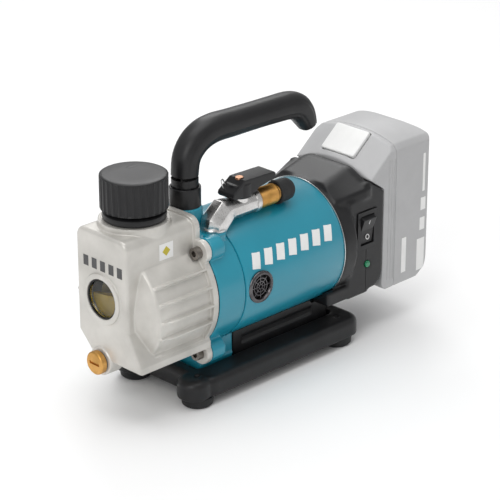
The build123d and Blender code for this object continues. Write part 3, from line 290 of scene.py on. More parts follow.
# --------------------------------------------------------------------- materials
def painted_casting(name, colour, shadow, roughness, metal, coat, grain, depth):
    """Sprayed paint on a casting: soft mottling, fine orange peel and a clear coat."""
    material = bpy.data.materials.new(name)
    material.use_nodes = True
    nodes = material.node_tree.nodes
    links = material.node_tree.links
    nodes.clear()

    surface = nodes.new("NodeFrame")
    surface.label = "surface"
    colouring = nodes.new("NodeFrame")
    colouring.label = "colour"
    relief = nodes.new("NodeFrame")
    relief.label = "relief"

    output = nodes.new("ShaderNodeOutputMaterial")
    output.label = "Finished paint"
    output.location = (900, 0)
    shader = nodes.new("ShaderNodeBsdfPrincipled")
    shader.label = "Paint film"
    shader.location = (600, 0)
    shader.parent = surface
    shader.inputs["Metallic"].default_value = metal
    shader.inputs["Coat Weight"].default_value = coat
    shader.inputs["Coat Roughness"].default_value = 0.16
    links.new(shader.outputs["BSDF"], output.inputs["Surface"])

    place = nodes.new("ShaderNodeTexCoord")
    place.label = "Place on the part"
    place.location = (-700, 0)

    mottling = nodes.new("ShaderNodeTexNoise")
    mottling.label = "Uneven paint thickness"
    mottling.location = (-400, 250)
    mottling.parent = colouring
    mottling.inputs["Scale"].default_value = 38.0
    mottling.inputs["Detail"].default_value = 4.0
    links.new(place.outputs["Object"], mottling.inputs["Vector"])
    shades = nodes.new("ShaderNodeValToRGB")
    shades.label = "Thin to thick paint"
    shades.location = (-100, 250)
    shades.parent = colouring
    shades.color_ramp.elements[0].position = 0.3
    shades.color_ramp.elements[0].color = (*shadow, 1)
    shades.color_ramp.elements[1].position = 0.7
    shades.color_ramp.elements[1].color = (*colour, 1)
    links.new(mottling.outputs["Fac"], shades.inputs["Fac"])
    links.new(shades.outputs["Color"], shader.inputs["Base Color"])

    gloss = nodes.new("ShaderNodeMapRange")
    gloss.label = "Gloss varies a little"
    gloss.location = (-100, -20)
    gloss.parent = surface
    gloss.inputs["To Min"].default_value = roughness - 0.05
    gloss.inputs["To Max"].default_value = roughness + 0.06
    links.new(mottling.outputs["Fac"], gloss.inputs["Value"])
    links.new(gloss.outputs["Result"], shader.inputs["Roughness"])

    peel = nodes.new("ShaderNodeTexNoise")
    peel.label = "Orange peel"
    peel.location = (-400, -250)
    peel.parent = relief
    peel.inputs["Scale"].default_value = grain
    peel.inputs["Detail"].default_value = 3.0
    links.new(place.outputs["Object"], peel.inputs["Vector"])
    bump = nodes.new("ShaderNodeBump")
    bump.label = "Raise the grain"
    bump.location = (250, -250)
    bump.parent = relief
    bump.inputs["Strength"].default_value = 0.5
    bump.inputs["Distance"].default_value = depth
    links.new(peel.outputs["Fac"], bump.inputs["Height"])
    links.new(bump.outputs["Normal"], shader.inputs["Normal"])
    return material


def moulded(name, colour, worn, roughness, grain, depth, level=0.5):
    """Moulded plastic or rubber: fine spark-eroded texture and slight scuffing."""
    material = bpy.data.materials.new(name)
    material.use_nodes = True
    nodes = material.node_tree.nodes
    links = material.node_tree.links
    nodes.clear()

    colouring = nodes.new("NodeFrame")
    colouring.label = "colour and scuffs"
    relief = nodes.new("NodeFrame")
    relief.label = "moulded texture"

    output = nodes.new("ShaderNodeOutputMaterial")
    output.label = "Finished moulding"
    output.location = (900, 0)
    shader = nodes.new("ShaderNodeBsdfPrincipled")
    shader.label = "Moulding"
    shader.location = (600, 0)
    shader.inputs["Specular IOR Level"].default_value = level
    links.new(shader.outputs["BSDF"], output.inputs["Surface"])

    place = nodes.new("ShaderNodeTexCoord")
    place.label = "Place on the part"
    place.location = (-700, 0)

    scuffs = nodes.new("ShaderNodeTexNoise")
    scuffs.label = "Handling scuffs"
    scuffs.location = (-400, 250)
    scuffs.parent = colouring
    scuffs.inputs["Scale"].default_value = 60.0
    scuffs.inputs["Detail"].default_value = 6.0
    scuffs.inputs["Roughness"].default_value = 0.62
    links.new(place.outputs["Object"], scuffs.inputs["Vector"])
    shades = nodes.new("ShaderNodeValToRGB")
    shades.label = "Fresh to scuffed"
    shades.location = (-100, 250)
    shades.parent = colouring
    shades.color_ramp.elements[0].position = 0.42
    shades.color_ramp.elements[0].color = (*colour, 1)
    shades.color_ramp.elements[1].position = 0.78
    shades.color_ramp.elements[1].color = (*worn, 1)
    links.new(scuffs.outputs["Fac"], shades.inputs["Fac"])
    links.new(shades.outputs["Color"], shader.inputs["Base Color"])
    gloss = nodes.new("ShaderNodeMapRange")
    gloss.label = "Scuffs are duller"
    gloss.location = (-100, 0)
    gloss.parent = colouring
    gloss.inputs["To Min"].default_value = roughness - 0.06
    gloss.inputs["To Max"].default_value = roughness + 0.08
    links.new(scuffs.outputs["Fac"], gloss.inputs["Value"])
    links.new(gloss.outputs["Result"], shader.inputs["Roughness"])

    pits = nodes.new("ShaderNodeTexVoronoi")
    pits.label = "Spark-eroded pits"
    pits.location = (-400, -250)
    pits.parent = relief
    pits.inputs["Scale"].default_value = grain
    links.new(place.outputs["Object"], pits.inputs["Vector"])
    bump = nodes.new("ShaderNodeBump")
    bump.label = "Press in the pits"
    bump.location = (250, -250)
    bump.parent = relief
    bump.inputs["Strength"].default_value = 0.4
    bump.inputs["Distance"].default_value = depth
    links.new(pits.outputs["Distance"], bump.inputs["Height"])
    links.new(bump.outputs["Normal"], shader.inputs["Normal"])
    return material


def machined(name, colour, tarnish, roughness, stretch, depth):
    """Bare metal: tool marks drawn out along the stretch, with patches of tarnish."""
    material = bpy.data.materials.new(name)
    material.use_nodes = True
    nodes = material.node_tree.nodes
    links = material.node_tree.links
    nodes.clear()

    colouring = nodes.new("NodeFrame")
    colouring.label = "tarnish"
    relief = nodes.new("NodeFrame")
    relief.label = "tool marks"

    output = nodes.new("ShaderNodeOutputMaterial")
    output.label = "Finished metal"
    output.location = (900, 0)
    shader = nodes.new("ShaderNodeBsdfPrincipled")
    shader.label = "Metal"
    shader.location = (600, 0)
    shader.inputs["Metallic"].default_value = 1.0
    links.new(shader.outputs["BSDF"], output.inputs["Surface"])

    place = nodes.new("ShaderNodeTexCoord")
    place.label = "Place on the part"
    place.location = (-900, 0)
    drawn = nodes.new("ShaderNodeMapping")
    drawn.label = "Draw the marks out"
    drawn.location = (-680, -150)
    drawn.parent = relief
    drawn.inputs["Scale"].default_value = stretch
    links.new(place.outputs["Object"], drawn.inputs["Vector"])

    patches = nodes.new("ShaderNodeTexNoise")
    patches.label = "Patches of tarnish"
    patches.location = (-400, 250)
    patches.parent = colouring
    patches.inputs["Scale"].default_value = 120.0
    patches.inputs["Detail"].default_value = 5.0
    links.new(place.outputs["Object"], patches.inputs["Vector"])
    shades = nodes.new("ShaderNodeValToRGB")
    shades.label = "Bright to tarnished"
    shades.location = (-100, 250)
    shades.parent = colouring
    shades.color_ramp.elements[0].position = 0.35
    shades.color_ramp.elements[0].color = (*tarnish, 1)
    shades.color_ramp.elements[1].position = 0.62
    shades.color_ramp.elements[1].color = (*colour, 1)
    links.new(patches.outputs["Fac"], shades.inputs["Fac"])
    links.new(shades.outputs["Color"], shader.inputs["Base Color"])

    marks = nodes.new("ShaderNodeTexNoise")
    marks.label = "Tool marks"
    marks.location = (-400, -150)
    marks.parent = relief
    marks.inputs["Scale"].default_value = 900.0
    marks.inputs["Detail"].default_value = 2.0
    links.new(drawn.outputs["Vector"], marks.inputs["Vector"])
    gloss = nodes.new("ShaderNodeMapRange")
    gloss.label = "Marks catch the light"
    gloss.location = (-100, -20)
    gloss.parent = relief
    gloss.inputs["To Min"].default_value = roughness - 0.06
    gloss.inputs["To Max"].default_value = roughness + 0.1
    links.new(marks.outputs["Fac"], gloss.inputs["Value"])
    links.new(gloss.outputs["Result"], shader.inputs["Roughness"])
    bump = nodes.new("ShaderNodeBump")
    bump.label = "Cut the marks"
    bump.location = (250, -250)
    bump.parent = relief
    bump.inputs["Strength"].default_value = 0.35
    bump.inputs["Distance"].default_value = depth
    links.new(marks.outputs["Fac"], bump.inputs["Height"])
    links.new(bump.outputs["Normal"], shader.inputs["Normal"])
    return material


def clear(name, colour, roughness, ior, cloud):
    """Glass, oil or clear plastic, with faint streaks that dull it."""
    material = bpy.data.materials.new(name)
    material.use_nodes = True
    nodes = material.node_tree.nodes
    links = material.node_tree.links
    nodes.clear()

    streaking = nodes.new("NodeFrame")
    streaking.label = "streaks"

    output = nodes.new("ShaderNodeOutputMaterial")
    output.label = "Finished clear part"
    output.location = (800, 0)
    shader = nodes.new("ShaderNodeBsdfPrincipled")
    shader.label = "Clear material"
    shader.location = (500, 0)
    shader.inputs["IOR"].default_value = ior
    shader.inputs["Transmission Weight"].default_value = 1.0 - cloud
    links.new(shader.outputs["BSDF"], output.inputs["Surface"])
    place = nodes.new("ShaderNodeTexCoord")
    place.label = "Place on the part"
    place.location = (-600, 0)
    streaks = nodes.new("ShaderNodeTexNoise")
    streaks.label = "Wiped streaks"
    streaks.location = (-350, 0)
    streaks.parent = streaking
    streaks.inputs["Scale"].default_value = 90.0
    streaks.inputs["Detail"].default_value = 3.0
    links.new(place.outputs["Object"], streaks.inputs["Vector"])
    tint = nodes.new("ShaderNodeValToRGB")
    tint.label = "Thin to thick tint"
    tint.location = (-100, 200)
    tint.parent = streaking
    tint.color_ramp.elements[0].position = 0.3
    tint.color_ramp.elements[0].color = (*[0.82 * c for c in colour], 1)
    tint.color_ramp.elements[1].position = 0.7
    tint.color_ramp.elements[1].color = (*colour, 1)
    links.new(streaks.outputs["Fac"], tint.inputs["Fac"])
    links.new(tint.outputs["Color"], shader.inputs["Base Color"])
    gloss = nodes.new("ShaderNodeMapRange")
    gloss.label = "Streaks are duller"
    gloss.location = (-100, -100)
    gloss.parent = streaking
    gloss.inputs["To Min"].default_value = roughness
    gloss.inputs["To Max"].default_value = roughness + 0.08
    links.new(streaks.outputs["Fac"], gloss.inputs["Value"])
    links.new(gloss.outputs["Result"], shader.inputs["Roughness"])
    return material


silver_paint = painted_casting(
    "silver paint", (0.68, 0.66, 0.62), (0.5, 0.485, 0.45), 0.36, 0.3, 0.15, 900.0, 0.0001
)
teal_paint = painted_casting(
    "teal paint", (0.012, 0.27, 0.375), (0.011, 0.255, 0.355), 0.3, 0.0, 0.3, 700.0, 0.00002
)
black_plastic = moulded(
    "black plastic", (0.011, 0.011, 0.012), (0.019, 0.019, 0.02), 0.36, 1500.0, 0.00004, 0.35
)
grip_plastic = moulded(
    "grip plastic", (0.013, 0.013, 0.014), (0.02, 0.02, 0.021), 0.38, 1800.0, 0.00003, 0.35
)
black_rubber = moulded(
    "black rubber", (0.016, 0.016, 0.017), (0.028, 0.028, 0.028), 0.62, 1200.0, 0.00004, 0.35
)
pack_grey = moulded(
    "pale grey plastic", (0.44, 0.44, 0.445), (0.48, 0.48, 0.485), 0.42, 1500.0, 0.00003
)
white_plastic = moulded(
    "white plastic", (0.86, 0.86, 0.85), (0.8, 0.8, 0.79), 0.4, 1500.0, 0.00002
)
cell_sleeve = moulded(
    "cell sleeve", (0.03, 0.2, 0.17), (0.05, 0.24, 0.2), 0.35, 900.0, 0.00002
)
board_green = moulded(
    "solder mask", (0.01, 0.09, 0.04), (0.02, 0.12, 0.06), 0.3, 700.0, 0.00003
)
felt = moulded(
    "pressed felt", (0.72, 0.68, 0.56), (0.6, 0.55, 0.42), 0.9, 500.0, 0.0002, 0.1
)
vane_composite = moulded(
    "vane composite", (0.06, 0.045, 0.03), (0.09, 0.07, 0.05), 0.5, 900.0, 0.00003
)
white_ink = moulded("white ink", (0.85, 0.85, 0.84), (0.8, 0.8, 0.79), 0.4, 900.0, 0.00001)
grey_ink = moulded("grey ink", (0.06, 0.06, 0.062), (0.09, 0.09, 0.09), 0.45, 900.0, 0.00001)
yellow_ink = moulded("yellow ink", (0.55, 0.46, 0.03), (0.5, 0.42, 0.03), 0.4, 900.0, 0.00001)
brass = machined("brass", (0.68, 0.38, 0.12), (0.5, 0.27, 0.07), 0.4, (1, 1, 1), 0.00002)
copper = machined("copper screw", (0.75, 0.42, 0.26), (0.55, 0.28, 0.15), 0.3, (1, 1, 1), 0.00002)
nickel = machined("nickel plate", (0.72, 0.71, 0.7), (0.55, 0.54, 0.53), 0.27, (1, 1, 1), 0.00006)
steel = machined("steel", (0.26, 0.24, 0.22), (0.15, 0.14, 0.125), 0.34, (0.2, 1, 1), 0.00002)
dark_chrome = machined(
    "dark chrome", (0.14, 0.135, 0.14), (0.08, 0.075, 0.08), 0.24, (1, 1, 1), 0.00001
)
ground_iron = machined("ground iron", (0.2, 0.2, 0.21), (0.13, 0.13, 0.13), 0.38, (1, 1, 1), 0.00003)
winding = machined("copper winding", (0.6, 0.25, 0.1), (0.4, 0.15, 0.06), 0.35, (3, 0.2, 0.2), 0.0002)
lamination = machined("lamination", (0.2, 0.2, 0.2), (0.12, 0.12, 0.12), 0.4, (4, 0.2, 0.2), 0.0001)
clear_glass = clear("clear glass", (0.97, 0.98, 0.96), 0.02, 1.25, 0.0)
amber_oil = clear("amber oil", (0.5, 0.33, 0.012), 0.05, 1.45, 0.8)
oily_metal = moulded(
    "oily metal", (0.36, 0.29, 0.16), (0.2, 0.16, 0.08), 0.32, 600.0, 0.00002, 0.6
)
green_lens = clear("green lens", (0.06, 0.5, 0.24), 0.08, 1.49, 0.55)

SLOT_MATERIALS = {
    "cast_silver": silver_paint,
    "teal_paint": teal_paint,
    "black_plastic": black_plastic,
    "handle_black": grip_plastic,
    "black_rubber": black_rubber,
    "brass": brass,
    "copper": copper,
    "nickel": nickel,
    "steel": steel,
    "dark_chrome": dark_chrome,
    "sight_glass": clear_glass,
    "green_lens": green_lens,
    "pack_grey": pack_grey,
    "pack_white": white_plastic,
    "cell_wrap": cell_sleeve,
    "board_green": board_green,
    "copper_wire": winding,
    "lamination": lamination,
    "machined_iron": ground_iron,
    "filter_felt": felt,
    "vane_composite": vane_composite,
}
for subpart in frame["record"]["subparts"]:
    node = NODES[subpart["node"]]
    node.data.materials.clear()
    node.data.materials.append(SLOT_MATERIALS[subpart["material_slot"]])


# -------------------------------------------------------------- castings and shells
BULGE_RADIUS = 0.0420
MOTOR_AXIS_HEIGHT = 0.0769
RIB_TURNS = (33.4, 16.7, 0.0, -16.5, -38.5)
RIB_SECTION = (
    (-0.0023, -0.0005),
    (-0.0019, -0.0008),
    (0.0019, -0.0008),
    (0.0023, -0.0005),
    (0.0023, 0.0005),
    (0.0019, 0.0008),
    (-0.0019, 0.0008),
    (-0.0023, 0.0005),
)
RIB_START_X = -0.1255
RIB_FULL_X = -0.1195
RIB_LEVEL_X = -0.1150
RIB_END_X = -0.0800
RIB_RISE = 0.0011


def make_cooling_ribs(radius, axis_height):
    """Crisp crests on the cooling ribs of both round sides, fading out at the front."""
    ribs = []
    for side in (-1, 1):
        for degrees in RIB_TURNS:
            line = [
                (RIB_START_X, side * (radius - 0.0006), 0, 0.15),
                (RIB_FULL_X, side * (radius + 0.0008), 0, 0.95),
                (RIB_LEVEL_X, side * (radius + RIB_RISE), 0, 1.0),
                (RIB_END_X, side * (radius + RIB_RISE), 0, 1.0),
            ]
            rib = swept("cooling_rib", line, RIB_SECTION)
            rib.rotation_euler = (side * math.radians(degrees), 0, 0)
            rib.location = (0, 0, axis_height)
            ribs.append(settle(rib, "cooling_rib"))
    return ribs


tank = soften("tank", "tank_casting", 0.0005, 2, 0.22)
tank = join([tank] + make_cooling_ribs(BULGE_RADIUS, MOTOR_AXIS_HEIGHT), "tank_casting")
shade(tank, 45)
dress(tank, "pump", silver_paint, ["tank"])

bracket = soften("front_bracket", "bracket_casting", 0.0007, 7, 0.35)
dress(bracket, "pump", teal_paint, ["front_bracket"])

base = soften("base", "base_moulding", 0.0008, 12, 0.35)
dress(base, "pump", black_plastic, ["base"])

pedestal = soften("pedestal", "pedestal_moulding", 0.0007, 4, 0.3)
dress(pedestal, "pump", black_plastic, ["pedestal"])

cover = soften("rear_housing", "rear_cover", 0.0008, 26, 0.35)


pack_front = soften("battery_top", "battery_front_shell", 0.0007, 12, 0.3)
pack_back = soften("battery_case", "battery_back_shell", 0.0007, 14, 0.3)

button = soften("battery_button", "release_button", 0.0004, 5, 0.3)
dress(button, "battery_button", white_plastic, ["battery_button"])

lever = soften("valve_lever", "lever_moulding", 0.0003, 7, 0.4)
dress(lever, "valve_lever", black_plastic, ["valve_lever"])

rocker = soften("switch_rocker", "rocker_moulding", 0.00025, 4, 0.4)

plug = soften("drain_plug", "drain_plug_turning", 0.0003, 3, 0.5)
dress(plug, "drain_plug", brass, ["drain_plug"])


# -------------------------------------------------------------------- filler cap
CAP_RIBS = 30
RIB_HEIGHT = 0.0008
CAP_WALL = 0.0038
CAP_HOLLOW = 0.0183


def make_oil_cap():
    """Ribbed cap: wide flats are pressed into a many-sided drum between narrow ribs."""
    low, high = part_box("oil_cap")
    radius = (high.x - low.x) / 2
    centre = (low + high) / 2
    bpy.ops.object.select_all(action="DESELECT")
    bpy.ops.mesh.primitive_cylinder_add(
        vertices=CAP_RIBS * 4, radius=radius, depth=high.z - low.z, location=centre
    )
    piece = settle(bpy.context.object, "oil_cap_drum")
    bpy.ops.object.mode_set(mode="EDIT")
    bpy.ops.mesh.select_mode(type="FACE")
    bpy.ops.mesh.select_all(action="DESELECT")
    bpy.ops.object.mode_set(mode="OBJECT")
    walls = [face for face in piece.data.polygons if abs(face.normal.z) < 0.1]
    walls.sort(key=lambda face: math.atan2(face.center.y - centre.y, face.center.x - centre.x))
    for place, wall in enumerate(walls):
        wall.select = place % 4 != 3
    bpy.ops.object.mode_set(mode="EDIT")
    bpy.ops.mesh.inset(thickness=RIB_HEIGHT, depth=-RIB_HEIGHT)
    bpy.ops.mesh.select_all(action="DESELECT")
    bpy.ops.object.mode_set(mode="OBJECT")
    for face in piece.data.polygons:
        face.select = face.normal.z > 0.9 and face.area > radius * radius
    bpy.ops.object.mode_set(mode="EDIT")
    bpy.ops.mesh.inset(thickness=0.0012, depth=0.0006)
    bpy.ops.mesh.inset(thickness=0.0016, depth=0.0002)
    bpy.ops.mesh.inset(thickness=0.009, depth=-0.0002)
    bpy.ops.mesh.select_all(action="DESELECT")
    bpy.ops.object.mode_set(mode="OBJECT")
    for face in piece.data.polygons:
        face.select = face.normal.z < -0.9 and face.area > radius * radius
    bpy.ops.object.mode_set(mode="EDIT")
    bpy.ops.mesh.inset(thickness=CAP_WALL, depth=0)
    bpy.ops.mesh.extrude_region_move(TRANSFORM_OT_translate={"value": (0, 0, CAP_HOLLOW)})
    bpy.ops.object.mode_set(mode="OBJECT")
    edges = piece.modifiers.new("rounded edges", "BEVEL")
    edges.width = 0.0003
    edges.segments = 2
    edges.limit_method = "ANGLE"
    edges.angle_limit = math.radians(30)
    apply_modifiers(piece)
    shade(piece, 40)
    mark = block(
        "cap_mark",
        (centre.x + 0.0035, centre.y + 0.0085, high.z - 0.001),
        (centre.x + 0.0165, centre.y + 0.0125, high.z + 0.0007),
        0.0003,
    )
    return join([piece, mark], "oil_cap_drum")


dress(make_oil_cap(), "oil_cap", black_plastic, ["oil_cap"])

neck_low, neck_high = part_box("filler_neck")
neck = turned(
    "filler_neck_ring",
    [
        (0, 0.0130),
        (0, 0.0206),
        (0.0008, 0.0217),
        (0.0030, 0.0221),
        (0.0048, 0.0217),
        (0.0058, 0.0204),
        (0.0060, 0.0160),
        (0.0242, 0.0160),
        (0.0242, 0.0130),
        (0, 0.0130),
    ],
    ((neck_low.x + neck_high.x) / 2, (neck_low.y + neck_high.y) / 2, neck_low.z),
    (0, 0, 1),
    ROUND_STEPS,
)
dress(neck, "pump", black_plastic, ["filler_neck"])


# ------------------------------------------------------------------- sight glass
glass_low, glass_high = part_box("sight_glass")
glass_middle = (glass_low + glass_high) / 2
glass_radius = (glass_high.z - glass_low.z) / 2
lens = turned(
    "sight_glass_lens",
    [
        (0, ON_AXIS),
        (0, glass_radius),
        (0.0034, glass_radius),
        (0.0041, 0.86 * glass_radius),
        (0.0046, 0.55 * glass_radius),
        (0.0048, ON_AXIS),
    ],
    (glass_high.x, glass_middle.y, glass_middle.z),
    (-1, 0, 0),
)
dress(lens, "pump", clear_glass, ["sight_glass"])


def make_oil():
    """Oil that stands halfway up behind the sight glass, as a shallow pool."""
    piece = turned(
        "oil_behind_glass",
        [(0, ON_AXIS), (0, 0.0136), (0.003, 0.0136), (0.003, ON_AXIS)],
        (glass_high.x + 0.0045, glass_middle.y, glass_middle.z),
        (-1, 0, 0),
    )
    choose(piece)
    bpy.ops.object.mode_set(mode="EDIT")
    bpy.ops.mesh.select_all(action="SELECT")
    bpy.ops.mesh.bisect(
        plane_co=(glass_middle.x, glass_middle.y, glass_middle.z + 0.0012),
        plane_no=(0, 0.12, 1),
        clear_outer=True,
        use_fill=True,
    )
    bpy.ops.object.mode_set(mode="OBJECT")
    shade(piece)
    return piece


dress(make_oil(), "pump", amber_oil)

glimpse = [
    turned(
        "pump_cover_disc",
        [(0, ON_AXIS), (0, 0.0135), (0.0008, 0.0140), (0.0008, ON_AXIS)],
        (glass_high.x + 0.0095, glass_middle.y, glass_middle.z),
        (-1, 0, 0),
    ),
    turned(
        "pump_cover_hub",
        [
            (0, ON_AXIS),
            (0, 0.0062),
            (0.0022, 0.0056),
            (0.0022, 0.0030),
            (0.0014, 0.0026),
            (0.0014, ON_AXIS),
        ],
        (glass_high.x + 0.0090, glass_middle.y - 0.0035, glass_middle.z + 0.0030),
        (-1, 0, 0),
    ),
]
for up, out in ((0.0088, 0.0050), (-0.0060, -0.0072), (0.0015, 0.0094)):
    glimpse.append(
        turned(
            "pump_cover_screw",
            [(0, ON_AXIS), (0, 0.0021), (0.0018, 0.0019), (0.0018, ON_AXIS)],
            (glass_high.x + 0.0090, glass_middle.y + out, glass_middle.z + up),
            (-1, 0, 0),
            32,
        )
    )
dress(join(glimpse, "pump_cover_glimpse"), "pump", oily_metal)


# ----------------------------------------------------------------- carrying handle
def grip_section(sides=72):
    """Section of the grip: a circle with faint flats and four moulding lines."""
    points = []
    for number in range(sides):
        angle = math.tau * number / sides
        power = 2.35
        radius = (abs(math.cos(angle)) ** power + abs(math.sin(angle)) ** power) ** (-1 / power)
        for line in (0.5, math.pi - 0.5, math.pi + 0.5, math.tau - 0.5):
            radius -= 0.05 * math.exp(-(((angle - line) / 0.07) ** 2))
        points.append((0.001 * radius * math.cos(angle), 0.001 * radius * math.sin(angle)))
    return points


def make_handle():
    """The bent grip, thicker along the hand's part, with a blunt hooked end."""
    low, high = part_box("handle")
    leg_x = low.x + 0.0098
    foot = low.z
    bend = [
        (leg_x, 0, foot, 8.9),
        (leg_x, 0, foot + 0.012, 9.0),
        (leg_x, 0, foot + 0.022, 9.2),
        (leg_x + 0.0018, 0, foot + 0.0325, 9.5),
        (leg_x + 0.0078, 0, foot + 0.0405, 9.9),
        (leg_x + 0.0168, 0, foot + 0.0455, 10.1),
        (leg_x + 0.0280, 0, foot + 0.0474, 10.0),
        (leg_x + 0.0430, 0, foot + 0.0471, 9.8),
        (leg_x + 0.0650, 0, foot + 0.0468, 9.6),
        (leg_x + 0.0850, 0, foot + 0.0464, 9.7),
        (leg_x + 0.1000, 0, foot + 0.0458, 9.9),
        (leg_x + 0.1085, 0, foot + 0.0432, 10.0),
        (leg_x + 0.1142, 0, foot + 0.0380, 9.3),
        (leg_x + 0.1178, 0, foot + 0.0325, 8.3),
        (leg_x + 0.1200, 0, foot + 0.0284, 7.3),
        (leg_x + 0.1208, 0, foot + 0.0264, 6.7),
        (leg_x + 0.1212, 0, foot + 0.0253, 5.6),
        (leg_x + 0.1214, 0, foot + 0.0248, 3.6),
        (leg_x + 0.1215, 0, foot + 0.0246, 0.8),
    ]
    piece = swept("handle_grip", rounded(bend), grip_section())
    shade(piece, 50)
    return piece


dress(make_handle(), "pump", grip_plastic, ["handle"])


# ------------------------------------------------------------------ motor tube
tube_low, tube_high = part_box("motor_housing")
tube_radius = (tube_high.y - tube_low.y) / 2
tube_length = tube_high.x - tube_low.x
motor_axis_z = (tube_low.z + tube_high.z) / 2
tube = turned(
    "motor_tube",
    [
        (0, tube_radius - 0.0026),
        (0, tube_radius - 0.0008),
        (0.0003, tube_radius - 0.0002),
        (0.0010, tube_radius),
        (tube_length / 2, tube_radius),
        (tube_length - 0.0010, tube_radius),
        (tube_length - 0.0003, tube_radius - 0.0002),
        (tube_length, tube_radius - 0.0008),
        (tube_length, tube_radius - 0.0026),
        (0, tube_radius - 0.0026),
    ],
    (tube_low.x, 0, motor_axis_z),
    (1, 0, 0),
    TUBE_STEPS,
)
vent_low, vent_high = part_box("vent_grilles")
vent_x = (vent_low.x + vent_high.x) / 2
vent_z = (vent_low.z + vent_high.z) / 2
for side in (-1, 1):
    hole = turned(
        "vent_hole",
        [(0, ON_AXIS), (0, 0.0108), (0.0100, 0.0108), (0.0100, ON_AXIS)],
        (vent_x, side * (tube_radius - 0.0050), vent_z),
        (0, side, 0),
    )
    carve(tube, hole)
shade(tube, 35)
dress(tube, "pump", teal_paint, ["motor_housing"])

# A thin ring of bright nickel at the tube's rear rim: a painted highlight, standing for the light
# caught by the rim's rounded edge.
rim_highlight_ring = turned(
    "rear_rim_highlight_ring",
    [
        (0, tube_radius),
        (0, tube_radius + 0.0007),
        (0.0006, tube_radius + 0.0007),
        (0.0006, tube_radius),
        (0, tube_radius),
    ],
    (tube_high.x - 0.0004, 0, motor_axis_z),
    (1, 0, 0),
    TUBE_STEPS,
)
dress(rim_highlight_ring, "pump", nickel)


# --------------------------------------------------------------- vents in the tube
def make_vent(side):
    """Round vent: a bevelled bezel with a wheel of thin bars; the dark disc of painted shade behind
    the bars is made apart from it.
    """
    centre = (vent_x, side * (tube_radius - 0.0002), vent_z)
    radius = (vent_high.x - vent_low.x) / 2
    bezel = turned(
        "vent_bezel",
        [
            (-0.0030, radius - 0.0030),
            (-0.0030, radius - 0.0006),
            (0.0002, radius - 0.0002),
            (0.0006, radius - 0.0004),
            (0.0013, radius - 0.0016),
            (0.0011, radius - 0.0028),
            (-0.0004, radius - 0.0036),
            (-0.0030, radius - 0.0036),
            (-0.0030, radius - 0.0030),
        ],
        centre,
        (0, side, 0),
    )
    rings = []
    for ring_radius in (0.0062, 0.0038, 0.0016):
        rings.append(
            turned(
                "vent_ring",
                [
                    (-0.0012, ring_radius - 0.0004),
                    (-0.0012, ring_radius + 0.0004),
                    (-0.0002, ring_radius + 0.0003),
                    (-0.0002, ring_radius - 0.0003),
                    (-0.0012, ring_radius - 0.0004),
                ],
                centre,
                (0, side, 0),
            )
        )
    for spoke in range(8):
        angle = math.tau * spoke / 8
        bpy.ops.object.select_all(action="DESELECT")
        bpy.ops.mesh.primitive_cube_add(size=1)
        bar = bpy.context.object
        bar.scale = (0.0070, 0.0010, 0.0006)
        bar.rotation_euler = (0, angle, 0)
        bar.location = (
            centre[0] + 0.0050 * math.cos(angle),
            centre[1] - side * 0.0008,
            centre[2] - 0.0050 * math.sin(angle),
        )
        rings.append(settle(bar, "vent_bar"))
    return bezel, join(rings, "vent_wheel"), centre


near_bezel, near_wheel, near_centre = make_vent(-1)
far_bezel, far_wheel, far_centre = make_vent(1)
bezels = join([near_bezel, near_wheel, far_bezel, far_wheel], "vent_bezels")
shade(bezels, 30)
dress(bezels, "pump", dark_chrome, ["vent_grilles"])
# Dark discs set inside the vents: painted shade, standing for the dark inside of the motor tube
# behind the bars.
shade_discs = join(
    [
        turned(
            "vent_shade_disc",
            [(0, ON_AXIS), (0, 0.0092), (0.0006, 0.0092), (0.0006, ON_AXIS)],
            centre,
            (0, side, 0),
        )
        for side, centre in (
            (-1, (near_centre[0], near_centre[1] + 0.0026, near_centre[2])),
            (1, (far_centre[0], far_centre[1] - 0.0026, far_centre[2])),
        )
    ],
    "vent_shade_discs",
)
dress(shade_discs, "pump", black_rubber)


# ---------------------------------------------------------------- intake valve
fitting_low, fitting_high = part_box("flare_fitting")
valve_y = (fitting_low.y + fitting_high.y) / 2
valve_z = (fitting_low.z + fitting_high.z) / 2
valve_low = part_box("valve_body")[0]
pad_z = valve_low.z + 0.008
elbow_x = valve_low.x + 0.0072
STEM_X = -0.030
BARREL_END_X = -0.0142
BARREL_SIZE = 0.0073


def octagon(size):
    """Section of the forged valve body, with a flat uppermost."""
    corner = size / math.cos(math.pi / 8)
    turns = [math.tau * (number + 0.5) / 8 for number in range(8)]
    return [(corner * math.cos(turn), corner * math.sin(turn)) for turn in turns]


